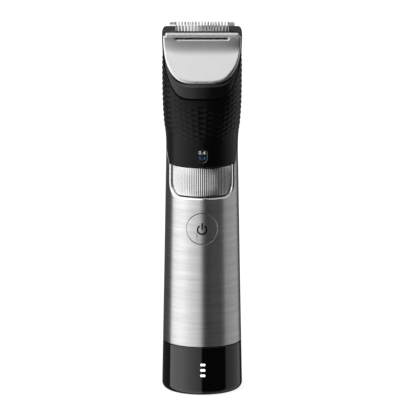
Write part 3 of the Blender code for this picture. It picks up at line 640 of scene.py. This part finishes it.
def add_number(points, faces, words, turn, z):
    """Adds a number, bent round the ring, to a list of points and faces."""
    cap_height, narrowing = 0.72, 0.98       # height of a letter of size 1, share of its width
    line = bpy.data.curves.new("number", "FONT")
    line.body, line.size = words, 1.0
    line.align_x = line.align_y = "CENTER"
    line.resolution_u, line.space_character = 4, 1.12
    holder = bpy.data.objects.new("number", line)
    scene.collection.objects.link(holder)
    graph = bpy.context.evaluated_depsgraph_get()
    mesh = bpy.data.meshes.new_from_object(holder.evaluated_get(graph), depsgraph=graph)
    work = bmesh.new()
    work.from_mesh(mesh)
    bmesh.ops.remove_doubles(work, verts=work.verts, dist=1e-5)
    bmesh.ops.triangulate(work, faces=work.faces)
    flat = [v.co.copy() for v in work.verts]
    scale = NUMBER_HEIGHT / cap_height
    middle = (max(p.y for p in flat) + min(p.y for p in flat)) / 2
    start = len(points)
    for level in (0.0, NUMBER_THICK):
        for p in flat:
            a = turn + p.x * scale * narrowing / NUMBER_RADIUS
            r = NUMBER_RADIUS + level
            points.append((r * sin(a), -r * cos(a), z + (p.y - middle) * scale))
    count = len(flat)
    for face in work.faces:
        corners = [v.index for v in face.verts]
        faces.append([start + c for c in reversed(corners)])
        faces.append([start + count + c for c in corners])
    for edge in work.edges:
        if len(edge.link_faces) == 1:
            a, b = (v.index for v in edge.verts)
            faces.append([start + a, start + b, start + count + b, start + count + a])
    work.free()
    bpy.data.objects.remove(holder)


def make_button():
    """A disc cut from the sleeve's own curve, with a fine bevel and the power symbol."""
    outline = circle(BUTTON_RADIUS, 96, (0, BUTTON_Z))
    bevel = ((-1.2, 0.0), (-0.14, 0.0), (-0.05, -0.04), (-0.02, -0.12))
    rings = filled_rings(outline, BUTTON_Z, bevel, 24, 0.0)
    cap = loft("button_cap", rings, "button", sharp=60.0)
    mount(cap, "button", "button_steel", "power_button")

    reach, stroke, opening, bar_half, bar_rise = 2.12, 0.7, 37.0, 1.65, 1.55
    start, end = 90 + opening, 450 - opening
    centre = (0, BUTTON_Z - 0.33)
    tips = {turn: arc(centre, reach, turn, turn, 1)[0] for turn in (start, end)}
    ring = arc(centre, reach + stroke / 2, start, end, 48)
    ring += arc(tips[end], stroke / 2, end, end + 180, 8)[1:-1]
    ring += arc(centre, reach - stroke / 2, end, start, 48)
    ring += arc(tips[start], stroke / 2, start - 180, start, 8)[1:-1]
    bar = soft_box(stroke / 2, bar_half, stroke / 2 - 0.01, (0, centre[1] + bar_rise), 6)
    for name, shape in (("symbol_ring", ring), ("symbol_bar", bar)):
        mark = loft(name, [on_body(shape, depth) for depth in (-0.05, 0.03)], "ink_black")
        mount(mark, "button", "button_steel")


def on_body(outline, depth):
    """Lays an outline in x and z on the front of the body, at a depth under its surface."""
    shape = np.asarray(outline, float)
    radius = body_radius(shape[:, 1]) + depth
    return np.stack([shape[:, 0], -np.sqrt(radius ** 2 - shape[:, 0] ** 2), shape[:, 1]], 1)


def filled_rings(outline, middle_z, steps, rows, crown):
    """Rings on the body at (depth, margin) steps, then rows that shrink to a raised middle."""
    rings = [on_body(grown(outline, margin), depth) for depth, margin in steps]
    depth, margin = steps[-1]
    for k in range(1, rows):
        share = 1 - k / rows
        shape = [(x * share, middle_z + (z - middle_z) * share) for x, z in grown(outline, margin)]
        rings.append(on_body(shape, depth + crown * (1 - share)))
    return rings


# ---- head housing
def grip(turns, z):
    """Height of the diamond grip: low pyramids in a lattice, fading towards smooth plastic."""
    across = turns / GRIP_TURN + 0.25
    rows = (z - GRIP_START) / GRIP_RISE
    a, b = across + rows, across - rows
    ridge = np.minimum(1 - np.abs(2 * (a % 1) - 1), 1 - np.abs(2 * (b % 1) - 1))
    away = degrees_away(turns)
    foot_z = 120.5 + 3.0 * ease(away, 20.0, 50.0)
    above_foot = ease(z, foot_z, 6.0)
    under_comb = 1 - ease(z, 136.5, 5.5) * (1 - ease(away, 22.0, 22.0))
    below_top = 1 - ease(z, 163.0, 6.0)
    return GRIP_HEIGHT * ridge * above_foot * under_comb * below_top


def smooth(points, steps=8):
    """A curve through points: Catmull-Rom, spaced by the square root of the distances."""
    p = np.asarray(points, float)
    p = np.vstack([2 * p[0] - p[1], p, 2 * p[-1] - p[-2]])
    knots = np.concatenate([[0.0], np.cumsum(np.sqrt(np.linalg.norm(np.diff(p, axis=0), axis=1)))])
    curve = []
    for i in range(1, len(p) - 2):
        for t in np.linspace(knots[i], knots[i + 1], steps, endpoint=False):
            def blend(a, b, ta, tb):
                return ((tb - t) * a + (t - ta) * b) / (tb - ta)
            k = knots[i - 1:i + 3]
            ends = [blend(p[i - 1 + j], p[i + j], k[j], k[j + 1]) for j in range(3)]
            middles = [blend(ends[j], ends[j + 1], k[j], k[j + 2]) for j in range(2)]
            curve.append(blend(middles[0], middles[1], k[1], k[2]))
    return np.array(curve + [p[-2]])


def both_sides(half):
    """Mirrors a curve from the middle upwards and smooths it: left end, foot, right end."""
    return smooth([(-x, v) for x, v in reversed(half[1:])] + list(half))


def half_width_at(curve, v):
    """Half width at v of what a foot curve encloses."""
    right = curve[len(curve) // 2:]
    return np.interp(v, right[:, 1], right[:, 0])


def inside_outline(curve, margin, side_x, top_v):
    """A closed outline in x and v of what lies over a foot curve, widened by a margin."""
    foot = [tuple(point) for point in curve]
    left_v, right_v = foot[0][1] + 4.0, foot[-1][1] + 4.0
    head = [(side_x, right_v), (side_x, top_v), (-side_x, top_v), (-side_x, left_v)]
    return grown(foot + head, margin)


def make_housing():
    """The head: a shell with the grip, the deck under the comb and the window's opening."""
    turns, wall, deck_wall, lip, edge_round = around(420), 1.7, 1.6, 1.4, 0.25
    edge = collar_edge(turns)
    rings = [form(turns, 119.6, lip), form(turns, edge, lip), form(turns, edge, edge_round)]
    rings.append(form(turns, edge + edge_round))
    for share in (0.25, 0.5, 0.75, 1.0):
        rings.append(form(turns, edge + edge_round + (118.6 - edge) * share))
    for z in (*np.arange(119.1, 168.0, 0.22), *np.linspace(168.0, 174.1, 24)):
        ring = form(turns, z)
        outward = ring[:, :2] / np.linalg.norm(ring[:, :2], axis=1)[:, None]
        ring[:, :2] += outward * grip(turns, z)[:, None]
        rings.append(ring)
    housing = loft("head_shell", rings, "head", sharp=60.0)

    levels = (117.6, 124.1, 132.1, 140.1, 150.1, 158.0, 164.0, 168.0, 171.0)
    cavity = loft("cavity", [form(around(96), z, wall) for z in levels], "satin")
    room = rectangle(60, 170, 20, DECK_W - deck_wall)
    keep(cavity, prism("cavity_limit", room, slope_side, -40.0, 40.0, "satin"), weighted=False)
    above = inside_outline(both_sides(CARRIER_CURVE), GAP, 21.0, 190.0)
    tools = [
        prism("above_deck", above, slope, DECK_W, 95.0, "satin"),
        cavity,
        prism("blade_opening", rectangle(-15.8, 15.8, 134.5, 170.0), slope, 71.2, 82.0, "satin"),
    ]
    for low, high in ((-11.2, -8.8), (8.8, 11.2)):
        tools.append(prism("rail_slot", rectangle(low, high, 121.8, 134.9), slope, 74.0, 82.0, "satin"))
    window = soft_box(LENS_SIZE[0] / 2 + 0.06, LENS_SIZE[1] / 2 + 0.06, 2.15, (0, LENS_Z))
    depths = [(-5.0, 0.0), (-0.25, 0.0), (0.0, 0.22), (0.5, 0.7)]
    tools.append(hugging_cutter("lens_opening", window, depths, "gloss"))
    cut(housing, *tools, sharp=40.0)
    return mount(housing, "body", "head_black", "head_housing")


def make_lens():
    """The window's pane, set a little under the surface and slightly crowned."""
    outline = soft_box(LENS_SIZE[0] / 2, LENS_SIZE[1] / 2, 2.1, (0, LENS_Z))
    rings = filled_rings(outline, LENS_Z, ((-1.1, 0.0), (-0.34, 0.0), (-0.24, -0.1)), 10, 0.04)
    pane = loft("window_pane", rings, "lens", sharp=60.0)
    mount(pane, "body", "display_lens", "display_lens")


# ---- comb
def form_height(x, v):
    """w of the outer form over a point of the slope, found by repeated substitution."""
    w = np.full(np.broadcast(x, v).shape, 80.0)
    for _ in range(40):
        half_width, half_depth, exponent = section(v * COS + w * SIN, -PROUD)
        share = np.clip(np.abs(x) / half_width, 0.0, 1.0)
        w = (half_depth * (1 - share ** exponent) ** (1 / exponent) + v * SIN) / COS
    return w


def form_half_width(v, w):
    """Half width of the outer form along a level line of the slope."""
    half_width, half_depth, exponent = section(v * COS + w * SIN, -PROUD)
    share = np.clip(np.abs(w * COS - v * SIN) / half_depth, 0.0, 0.9999)
    return half_width * (1 - share ** exponent) ** (1 / exponent)


def round_over(margin, radius, most):
    """How far a rounded edge has dropped at a distance from the edge."""
    near = np.clip(radius - margin, 0.0, radius)
    return np.minimum(radius - np.sqrt(radius ** 2 - near ** 2), most)


def sheet(name, front_grid, back_grid, finishes, marks, sharp=50.0):
    """A closed solid between two grids; the front's faces are marked, the rest get finish 1."""
    rows, columns = front_grid.shape[:2]
    grid = np.arange(rows * columns).reshape(rows, columns)
    faces = []
    for offset in (0, rows * columns):
        for r in range(rows - 1):
            for c in range(columns - 1):
                corners = grid[r, c], grid[r, c + 1], grid[r + 1, c + 1], grid[r + 1, c]
                faces.append([int(offset + corner) for corner in corners])
    border = [*grid[0, :], *grid[1:, -1], *grid[-1, -2::-1], *grid[-2:0:-1, 0]]
    for a, b in zip(border, border[1:] + border[:1]):
        faces.append([int(a), int(b), int(rows * columns + b), int(rows * columns + a)])
    marks = np.concatenate([marks.ravel(), np.ones(len(faces) - marks.size, int)])
    points = np.concatenate([front_grid.reshape(-1, 3), back_grid.reshape(-1, 3)])
    return piece(name, points, faces, finishes, marks, sharp)


def make_carrier():
    """The black frame of the comb: the head's form above the deck, with a seat for the plate."""
    top_v, corner, corner_rise, seat = 155.5, 2.1, 4.2, FACE_W - PLATE_THICK - 0.12
    edge_round, gap_shade_width, dip_depth, dip_width, dip_end = 0.6, 0.45, 1.9, 2.4, 140.0
    curve, plate_curve = both_sides(CARRIER_CURVE), both_sides(PLATE_CURVE)
    share = np.linspace(0.0, 1.0, 200)
    v = curve[:, 1].min() + 0.03 + (top_v - curve[:, 1].min() - 0.03) * share ** 1.5
    half = np.minimum(half_width_at(curve, v), form_half_width(v, COMB_W + 0.3))
    into = np.clip((v - top_v) / corner_rise + 1, 0.0, 0.998)
    half = half - corner * (1 - np.sqrt(1 - into ** 2))
    across = np.sin(np.linspace(-pi / 2, pi / 2, 161))
    x = half[:, None] * across
    v_grid = np.broadcast_to(v[:, None], x.shape)
    edge = np.concatenate([np.stack([-half[::-1], v[::-1]], 1), np.stack([half, v], 1)])
    to_edge = distance_to(edge, x, v_grid)
    w = form_height(x, v_grid) - round_over(to_edge, edge_round, edge_round)
    dip = np.clip(1 - distance_to(plate_curve, x, v_grid) / dip_width, 0.0, 1.0)
    w = w - np.where(v_grid < dip_end, dip_depth * dip ** 1.7, 0.0)
    w = np.maximum(w, COMB_W + 0.08)
    front_grid = np.stack(slope(x, v_grid, w), -1)
    back_grid = np.stack(slope(x, v_grid, np.full_like(w, COMB_W)), -1)
    # The front's outer 0.45 mm band, and the frame's back and sides, take the matt black of the
    # symbol's ink: painted shade for the dark gap between comb and head.
    gap_shade_band = (to_edge < gap_shade_width)[:-1, :-1].astype(int)
    carrier = sheet("comb_frame", front_grid, back_grid, "comb ink_black", gap_shade_band, sharp=40.0)

    profile = [(120, seat), (143, seat), (146.4, seat + 0.3), (148.4, seat + 0.9), (151.2, 81.7)]
    profile += [(154.4, 81.3), (155.1, 81.0), (155.5, 80.5), (155.8, 79.8), (170, 79.8)]
    profile += [(170, 140), (120, 140)]
    space = prism("seat_space", profile, slope_side, -30.0, 30.0, "comb")
    over_plate = inside_outline(plate_curve, 0.22, 25.0, 180.0)
    keep(space, prism("plate_room", over_plate, slope, 60.0, 150.0, "comb"), weighted=False)
    opening = prism("opening", rectangle(-12.6, 12.6, 146.6, 170.0), slope, 70.0, 150.0, "comb")
    cut(carrier, space, opening, sharp=40.0)
    bars = ((-12.9, 12.9, 82.3, 82.85), (-13.6, -12.7, 81.0, 82.5), (12.7, 13.6, 81.0, 82.5))
    join(carrier, *[prism("bridge", rectangle(left, right, 150.0, 152.25), slope, low, high, "comb")
                    for left, right, low, high in bars])      # over the bars, with two feet
    pin_y, pin_z = LIFT_PIN
    room = rectangle(pin_y - COMB_TRAVEL * SIN - 1.25, pin_y + 1.25, pin_z - 1.25, pin_z + 1.25)
    for low, high in ((-10.8, -9.3), (9.3, 10.8)):
        rail = prism("rail", rectangle(122.4, 129.0, 66.5, 78.9), slope_side, low, high, "comb")
        cut(rail, prism("pin_room", room, side, -20.0, 20.0, "comb"), weighted=False)
        join(carrier, rail)
    return mount(carrier, "comb", "comb_black", "comb_carrier")


def make_face_plate():
    """A thin steel sheet: a satin face with a polished round edge, a scoop, and a rolled top."""
    curve = both_sides(PLATE_CURVE)
    foot_v, scoop_v, lip_v, lip_rise = curve[:, 1].min() + 0.02, 140.0, 148.65, 1.3
    edge_drop, slot_drop, slot_lip, bow, bow_half = 0.75, 0.55, 0.9, 2.0, 18.0
    across = np.sin(np.linspace(-pi / 2, pi / 2, 201))
    face_share = 1 - np.cos(np.linspace(0.0, pi / 2, 90, endpoint=False))
    scoop_share = np.linspace(0.0, 1.0, 30)

    def height(start, share, on_face):
        return foot_v + (start - foot_v) * share if on_face else start + (lip_v - start) * share

    rows_v, rows_w, rows_x, tilts = [], [], [], []
    for on_face, shares in ((True, face_share), (False, scoop_share)):
        for share in shares:
            x = half_width_at(curve, height(scoop_v, share, on_face)) * across
            for _ in range(3):
                start = scoop_v + bow * np.clip(np.abs(x) / bow_half, 0.0, 1.0) ** 5
                v = height(start, share, on_face)
                x = half_width_at(curve, v) * across
            bend = ((lip_v - start) ** 2 + lip_rise ** 2) / (2 * lip_rise)
            turn = np.arcsin(np.clip((v - start) / bend, 0.0, 1.0))
            rows_v.append(v)
            rows_w.append(FACE_W + bend * (1 - np.cos(turn)))
            rows_x.append(x)
            tilts.append(turn)
    flat_rows = len(rows_v)
    slot = soft_box(SLOT_HALF, SLOT_HEIGHT / 2, SLOT_HEIGHT / 2 - 0.01, (0, SLOT_V))
    side_half = half_width_at(curve, lip_v)
    for angle in np.linspace(205.0, -85.0, 48):
        t = radians(angle)
        narrowed = side_half - 1.1 * ease(-angle, -205.0, 80.0) - 0.5 * ease(-angle, -40.0, 120.0)
        rows_x.append(narrowed * across)
        rows_v.append(np.full(across.shape, ROLL_CENTRE[0] + ROLL_RADIUS * cos(t)))
        rows_w.append(np.full(across.shape, ROLL_CENTRE[1] + ROLL_RADIUS * sin(t)))
        tilts.append(np.full(across.shape, pi / 2 - t))
    x, v, w, tilt = (np.array(rows) for rows in (rows_x, rows_v, rows_w, tilts))
    out_v, out_w = np.sin(tilt), np.cos(tilt)
    out_v[:flat_rows] *= -1
    margin = distance_to(curve, x, v)
    margin[flat_rows:] = np.abs(x[flat_rows:, -1])[:, None] - np.abs(x[flat_rows:])
    rim = 1.5 - 0.7 * ease(v, 131.0, 10.0)
    near = np.clip(1 - margin / rim, 0.0, 1.0)
    drop = edge_drop * (1 - np.sqrt(1 - near ** 2))
    to_slot = distance_to(np.array(slot + slot[:1]), x[:flat_rows], v[:flat_rows])
    inside = (np.abs(x[:flat_rows]) < SLOT_HALF) & (v[:flat_rows] > SLOT_V - 0.3)
    drop[:flat_rows] += np.where(inside, slot_drop, round_over(to_slot, 1.0, slot_drop))
    front_grid = np.stack(slope(x, v - drop * out_v, w - drop * out_w), -1)
    back_grid = np.stack(slope(x, v - PLATE_THICK * out_v, w - PLATE_THICK * out_w), -1)
    lip = np.zeros(margin.shape, bool)
    lip[:flat_rows] = to_slot < slot_lip
    marks = ((margin < rim) | lip)[:-1, :-1].astype(int)
    marks[flat_rows - 1:] = 2
    plate = sheet("face_plate", front_grid, back_grid, "chrome rim roll", marks)
    cut(plate, prism("slot", slot, slope, 78.0, 84.4, "rim"), sharp=40.0)
    return mount(plate, "comb", "face_chrome", "comb_face_plate")


def distance_to(outline, x, y):
    """Distance from points to a polyline."""
    best = np.full(x.shape, 1e9)
    for (ax, ay), (bx, by) in zip(outline[:-1], outline[1:]):
        dx, dy = bx - ax, by - ay
        size = dx * dx + dy * dy
        if size < 1e-12:
            continue
        share = np.clip(((x - ax) * dx + (y - ay) * dy) / size, 0.0, 1.0)
        best = np.minimum(best, np.hypot(x - ax - share * dx, y - ay - share * dy))
    return best


def make_teeth():
    """Seventeen flat bars that bend from the plate's back over the blade."""
    count, width, tip = 17, 0.5, 0.36
    shape = [
        (148.0, 78.5), (157.6, 78.5), (158.0, 78.7), (158.15, 79.1), (157.85, 79.6),
        (157.1, 80.2), (156.3, 80.8), (155.4, 81.3), (151.0, 82.1), (148.0, 82.2),
    ]
    points, faces = [], []
    for k in range(count):
        x = (k - (count - 1) / 2) * TOOTH_PITCH
        rings = []
        for inset, push in ((0.12, -1.0), (0.0, -0.7), (0.0, 0.7), (0.12, 1.0)):
            ring = []
            for v, w in grown(shape, -inset):
                half = width / 2 + (tip - width) / 2 * max(0.0, (v - 148.0) / 10.4)
                ring.append(slope(x + push * half, v, w))
            rings.append(ring)
        add_skin(points, faces, rings)
    foot = [[slope(x, v, w) for v, w in rectangle(146.0, 148.3, 78.5, 81.2)] for x in (-12.6, 12.6)]
    add_skin(points, faces, foot)
    comb = piece("comb_bars", points, faces, "comb_steel cutter")
    # The bars' bent upper parts, above v 156.2, take the darker cutter steel: painted shade for bar
    # ends that lie in shadow.
    mark_faces(comb, lambda x, v, w: v > 156.2)
    return mount(comb, "comb", "blade_steel", "comb_teeth")


def mark_faces(obj, chosen):
    """Gives the second finish to the faces whose middle, in x, v and w, is chosen."""
    for face in obj.data.polygons:
        x, y, z = face.center / MM
        face.material_index = int(chosen(x, y * SIN + z * COS, z * SIN - y * COS))


def make_blade():
    """The fixed blade: a flat plate, ground back towards its teeth, with a plain end each side."""
    end_in, end_out, root, tip, half, tip_half = 12.0, 15.35, 156.5, 158.4, 0.31, 0.18
    end_block = [(end_out, 142.0), (end_out, tip - 0.5), (end_out - 0.5, tip)]
    end_block += [(end_in + 0.2, tip), (end_in, tip - 0.2), (end_in, root)]
    outline = list(end_block)
    for k in range(17):
        x = (8 - k) * BLADE_PITCH
        outline += [(x + half, root), (x + tip_half, tip), (x - tip_half, tip), (x - half, root)]
    outline += [(-x, v) for x, v in reversed(end_block)]
    blade = prism("fixed_blade", outline, slope, 76.95, 77.95, "blade comb_steel")
    ground = [(130, 76.0), (170, 76.0), (170, 77.0), (158.5, 77.15), (156.95, 77.95)]
    ground += [(156.95, 79.0), (130, 79.0)]
    keep(blade, prism("grind", ground, slope_side, -20.0, 20.0, "blade"), sharp=20.0, weighted=False)
    # The teeth and the plain ends take the darker comb bar steel: painted shade on a blade of one
    # steel.
    mark_faces(blade, lambda x, v, w: abs(x) > 12.05 or v > 156.9)
    return mount(blade, "body", "blade_steel", "stationary_blade")


def add_skin(points, faces, rings):
    more, sides = skin(rings)
    start = len(points)
    points.extend(more)
    faces.extend([[start + i for i in face] for face in sides])


# ---- CAD nodes that stay
STAYING = {
    "plated": """socket_pin_left socket_pin_right battery_tab_positive battery_tab_negative
        button_spring frame_screw_left frame_screw_right click_washer motor_screw_front
        motor_screw_rear motor_shaft lever_pivot_pin blade_screw_left blade_screw_right
        blade_spring""",
    "inner": """inner_frame button_plunger button_guide neck_collar comb_lifter head_frame
        drive_lever cutter_carriage""",
    "satin": "socket_insert controller_chip charge_chip motor_end_cap blade_holder",
    "pip": "led_lower led_middle led_upper",
    "board": "indicator_board main_board",
    "zinc": "power_switch motor_can",
    "rubber": "base_seal",
    "cell": "battery_cell",
    "brass": "eccentric_cam",
    "cutter": "cutter_blade",
}


def finish_staying():
    for finish, names in STAYING.items():
        for name in names.split():
            mesh = nodes[name].data
            mesh.materials.clear()
            mesh.materials.append(FINISH[finish])


# ---- studio
BRIGHTEST = 2.0
SIDE_LIGHT = [                   # (azimuth from the camera's side, tone) of the upright panels
    (-180, 0.3), (-164, 0.25), (-160, 0.065), (-108, 0.065), (-104, 1.35), (-62, 1.35),
    (-40, 0.95), (-2.4, 0.5), (-0.2, 0.008), (71, 0.008), (74, 0.3), (138, 0.48), (144, 0.03),
    (160, 0.03), (164, 0.25), (180, 0.3),
]
TOP_LIGHT = [
    (-180, 0.6), (-150, 1.6), (-12, 1.6), (0, 1.2), (4, 0.7), (9, 0.1), (26, 0.1), (34, 0.5),
    (85, 0.55), (130, 0.5), (180, 0.2),
]
LOW_LIGHT = [
    (-180, 0.15), (-120, 0.3), (-80, 1.0), (0, 0.9), (6, 0.4), (30, 0.25), (80, 0.3), (120, 0.3),
    (180, 0.15),
]
TOP_REACH = [(-90, 0.0), (30, 0.0), (42, 1.0), (68, 1.0), (84, 0.4), (90, 0.4)]
LOW_REACH = [(-90, 0.1), (-76, 0.1), (-72, 0.7), (-56, 0.7), (-48, 0.0), (90, 0.0)]


def make_world():
    """Soft studio light by direction, over a pale room that only the camera sees.

    Upright panels stand all round. The panels above and below take over from them by the share
    that their reach gives for each elevation.
    """
    world = bpy.data.worlds.new("studio")
    world.use_nodes = True
    world.node_tree.nodes.clear()
    sky = Nodes(world.node_tree)

    def panels(stops, full_turn, value):
        """A ramp of tones over angles, from half a turn below 0 to half a turn above it."""
        made = sky.node("ValToRGB")
        made.color_ramp.interpolation = "LINEAR"
        while len(made.color_ramp.elements) < len(stops):
            made.color_ramp.elements.new(0.5)
        for element, (angle, tone) in zip(made.color_ramp.elements, stops):
            element.position = angle / full_turn + 0.5
            element.color = (*[tone / BRIGHTEST] * 3, 1.0)
        sky.link(value, made.inputs["Fac"])
        return made.outputs["Color"]

    axes = sky.axes("Generated")
    turn = sky.maths("ARCTAN2", axes["X"], sky.maths("MULTIPLY", axes["Y"], -1.0))
    azimuth = sky.maths("ADD", sky.maths("DIVIDE", turn, 2 * pi), 0.5)
    climb = sky.maths("DIVIDE", sky.maths("ARCSINE", axes["Z"]), pi)
    elevation = sky.maths("ADD", climb, 0.5)
    glow = panels(SIDE_LIGHT, 360.0, azimuth)
    for stops, reach in ((TOP_LIGHT, TOP_REACH), (LOW_LIGHT, LOW_REACH)):
        share = panels([(angle, part * BRIGHTEST) for angle, part in reach], 180.0, elevation)
        mix = sky.node("MixRGB", blend_type="MIX")
        for value, socket in zip((share, glow, panels(stops, 360.0, azimuth)), mix.inputs):
            sky.link(value, socket)
        glow = mix.outputs[0]
    light = sky.node("Background", Strength=BRIGHTEST)
    sky.link(glow, light.inputs["Color"])
    room = sky.node("Background", Color=(1.0, 1.0, 1.0, 1.0), Strength=1.0)
    choose = sky.node("MixShader")
    seen = sky.node("LightPath").outputs["Is Camera Ray"]
    for value, socket in zip((seen, light.outputs[0], room.outputs[0]), choose.inputs):
        sky.link(value, socket)
    sky.link(choose.outputs[0], sky.node("OutputWorld").inputs["Surface"])
    scene.world = world


def make_floor():
    radius, corners = 5000.0, 64
    points = [(radius * cos(t), radius * sin(t), 0.0) for t in around(corners)]
    floor = piece("pale_floor", points, [list(range(corners))], "")
    pale = Shader("pale_floor", (0.3, 0.3, 0.3), 0.9, Specular_IOR_Level=0.0,
                  Emission_Color=(1.0, 1.0, 1.0, 1.0), Emission_Strength=0.9)
    pale.bump(pale.noise((0.02, 0.02, 0.02), 2.0), 0.01)
    floor.data.materials.append(pale.material)
    floor.visible_glossy = False


def make_camera():
    """A long lens in front of the object, looking a little down on it."""
    elevation, distance, target = radians(12.0), 3.0, Vector((2.8, 0.0, 87.175)) * MM
    camera = bpy.data.cameras.new("camera")
    camera.sensor_width = 36.0
    camera.lens = 547.5
    camera.clip_end = 50.0
    view = bpy.data.objects.new("camera", camera)
    back = Vector((0.0, -cos(elevation), sin(elevation)))
    view.location = target + back * distance
    view.rotation_euler = (-back).to_track_quat("-Z", "Y").to_euler()
    scene.collection.objects.link(view)
    scene.camera = view
    scene.view_settings.view_transform = "Standard"


def main():
    make_camera()
    make_world()
    make_floor()
    finish_staying()
    make_base()
    make_lights()
    make_sleeve()
    make_wheel()
    make_scale_ring()
    make_button()
    make_housing()
    make_lens()
    make_carrier()
    make_face_plate()
    make_teeth()
    make_blade()


main()
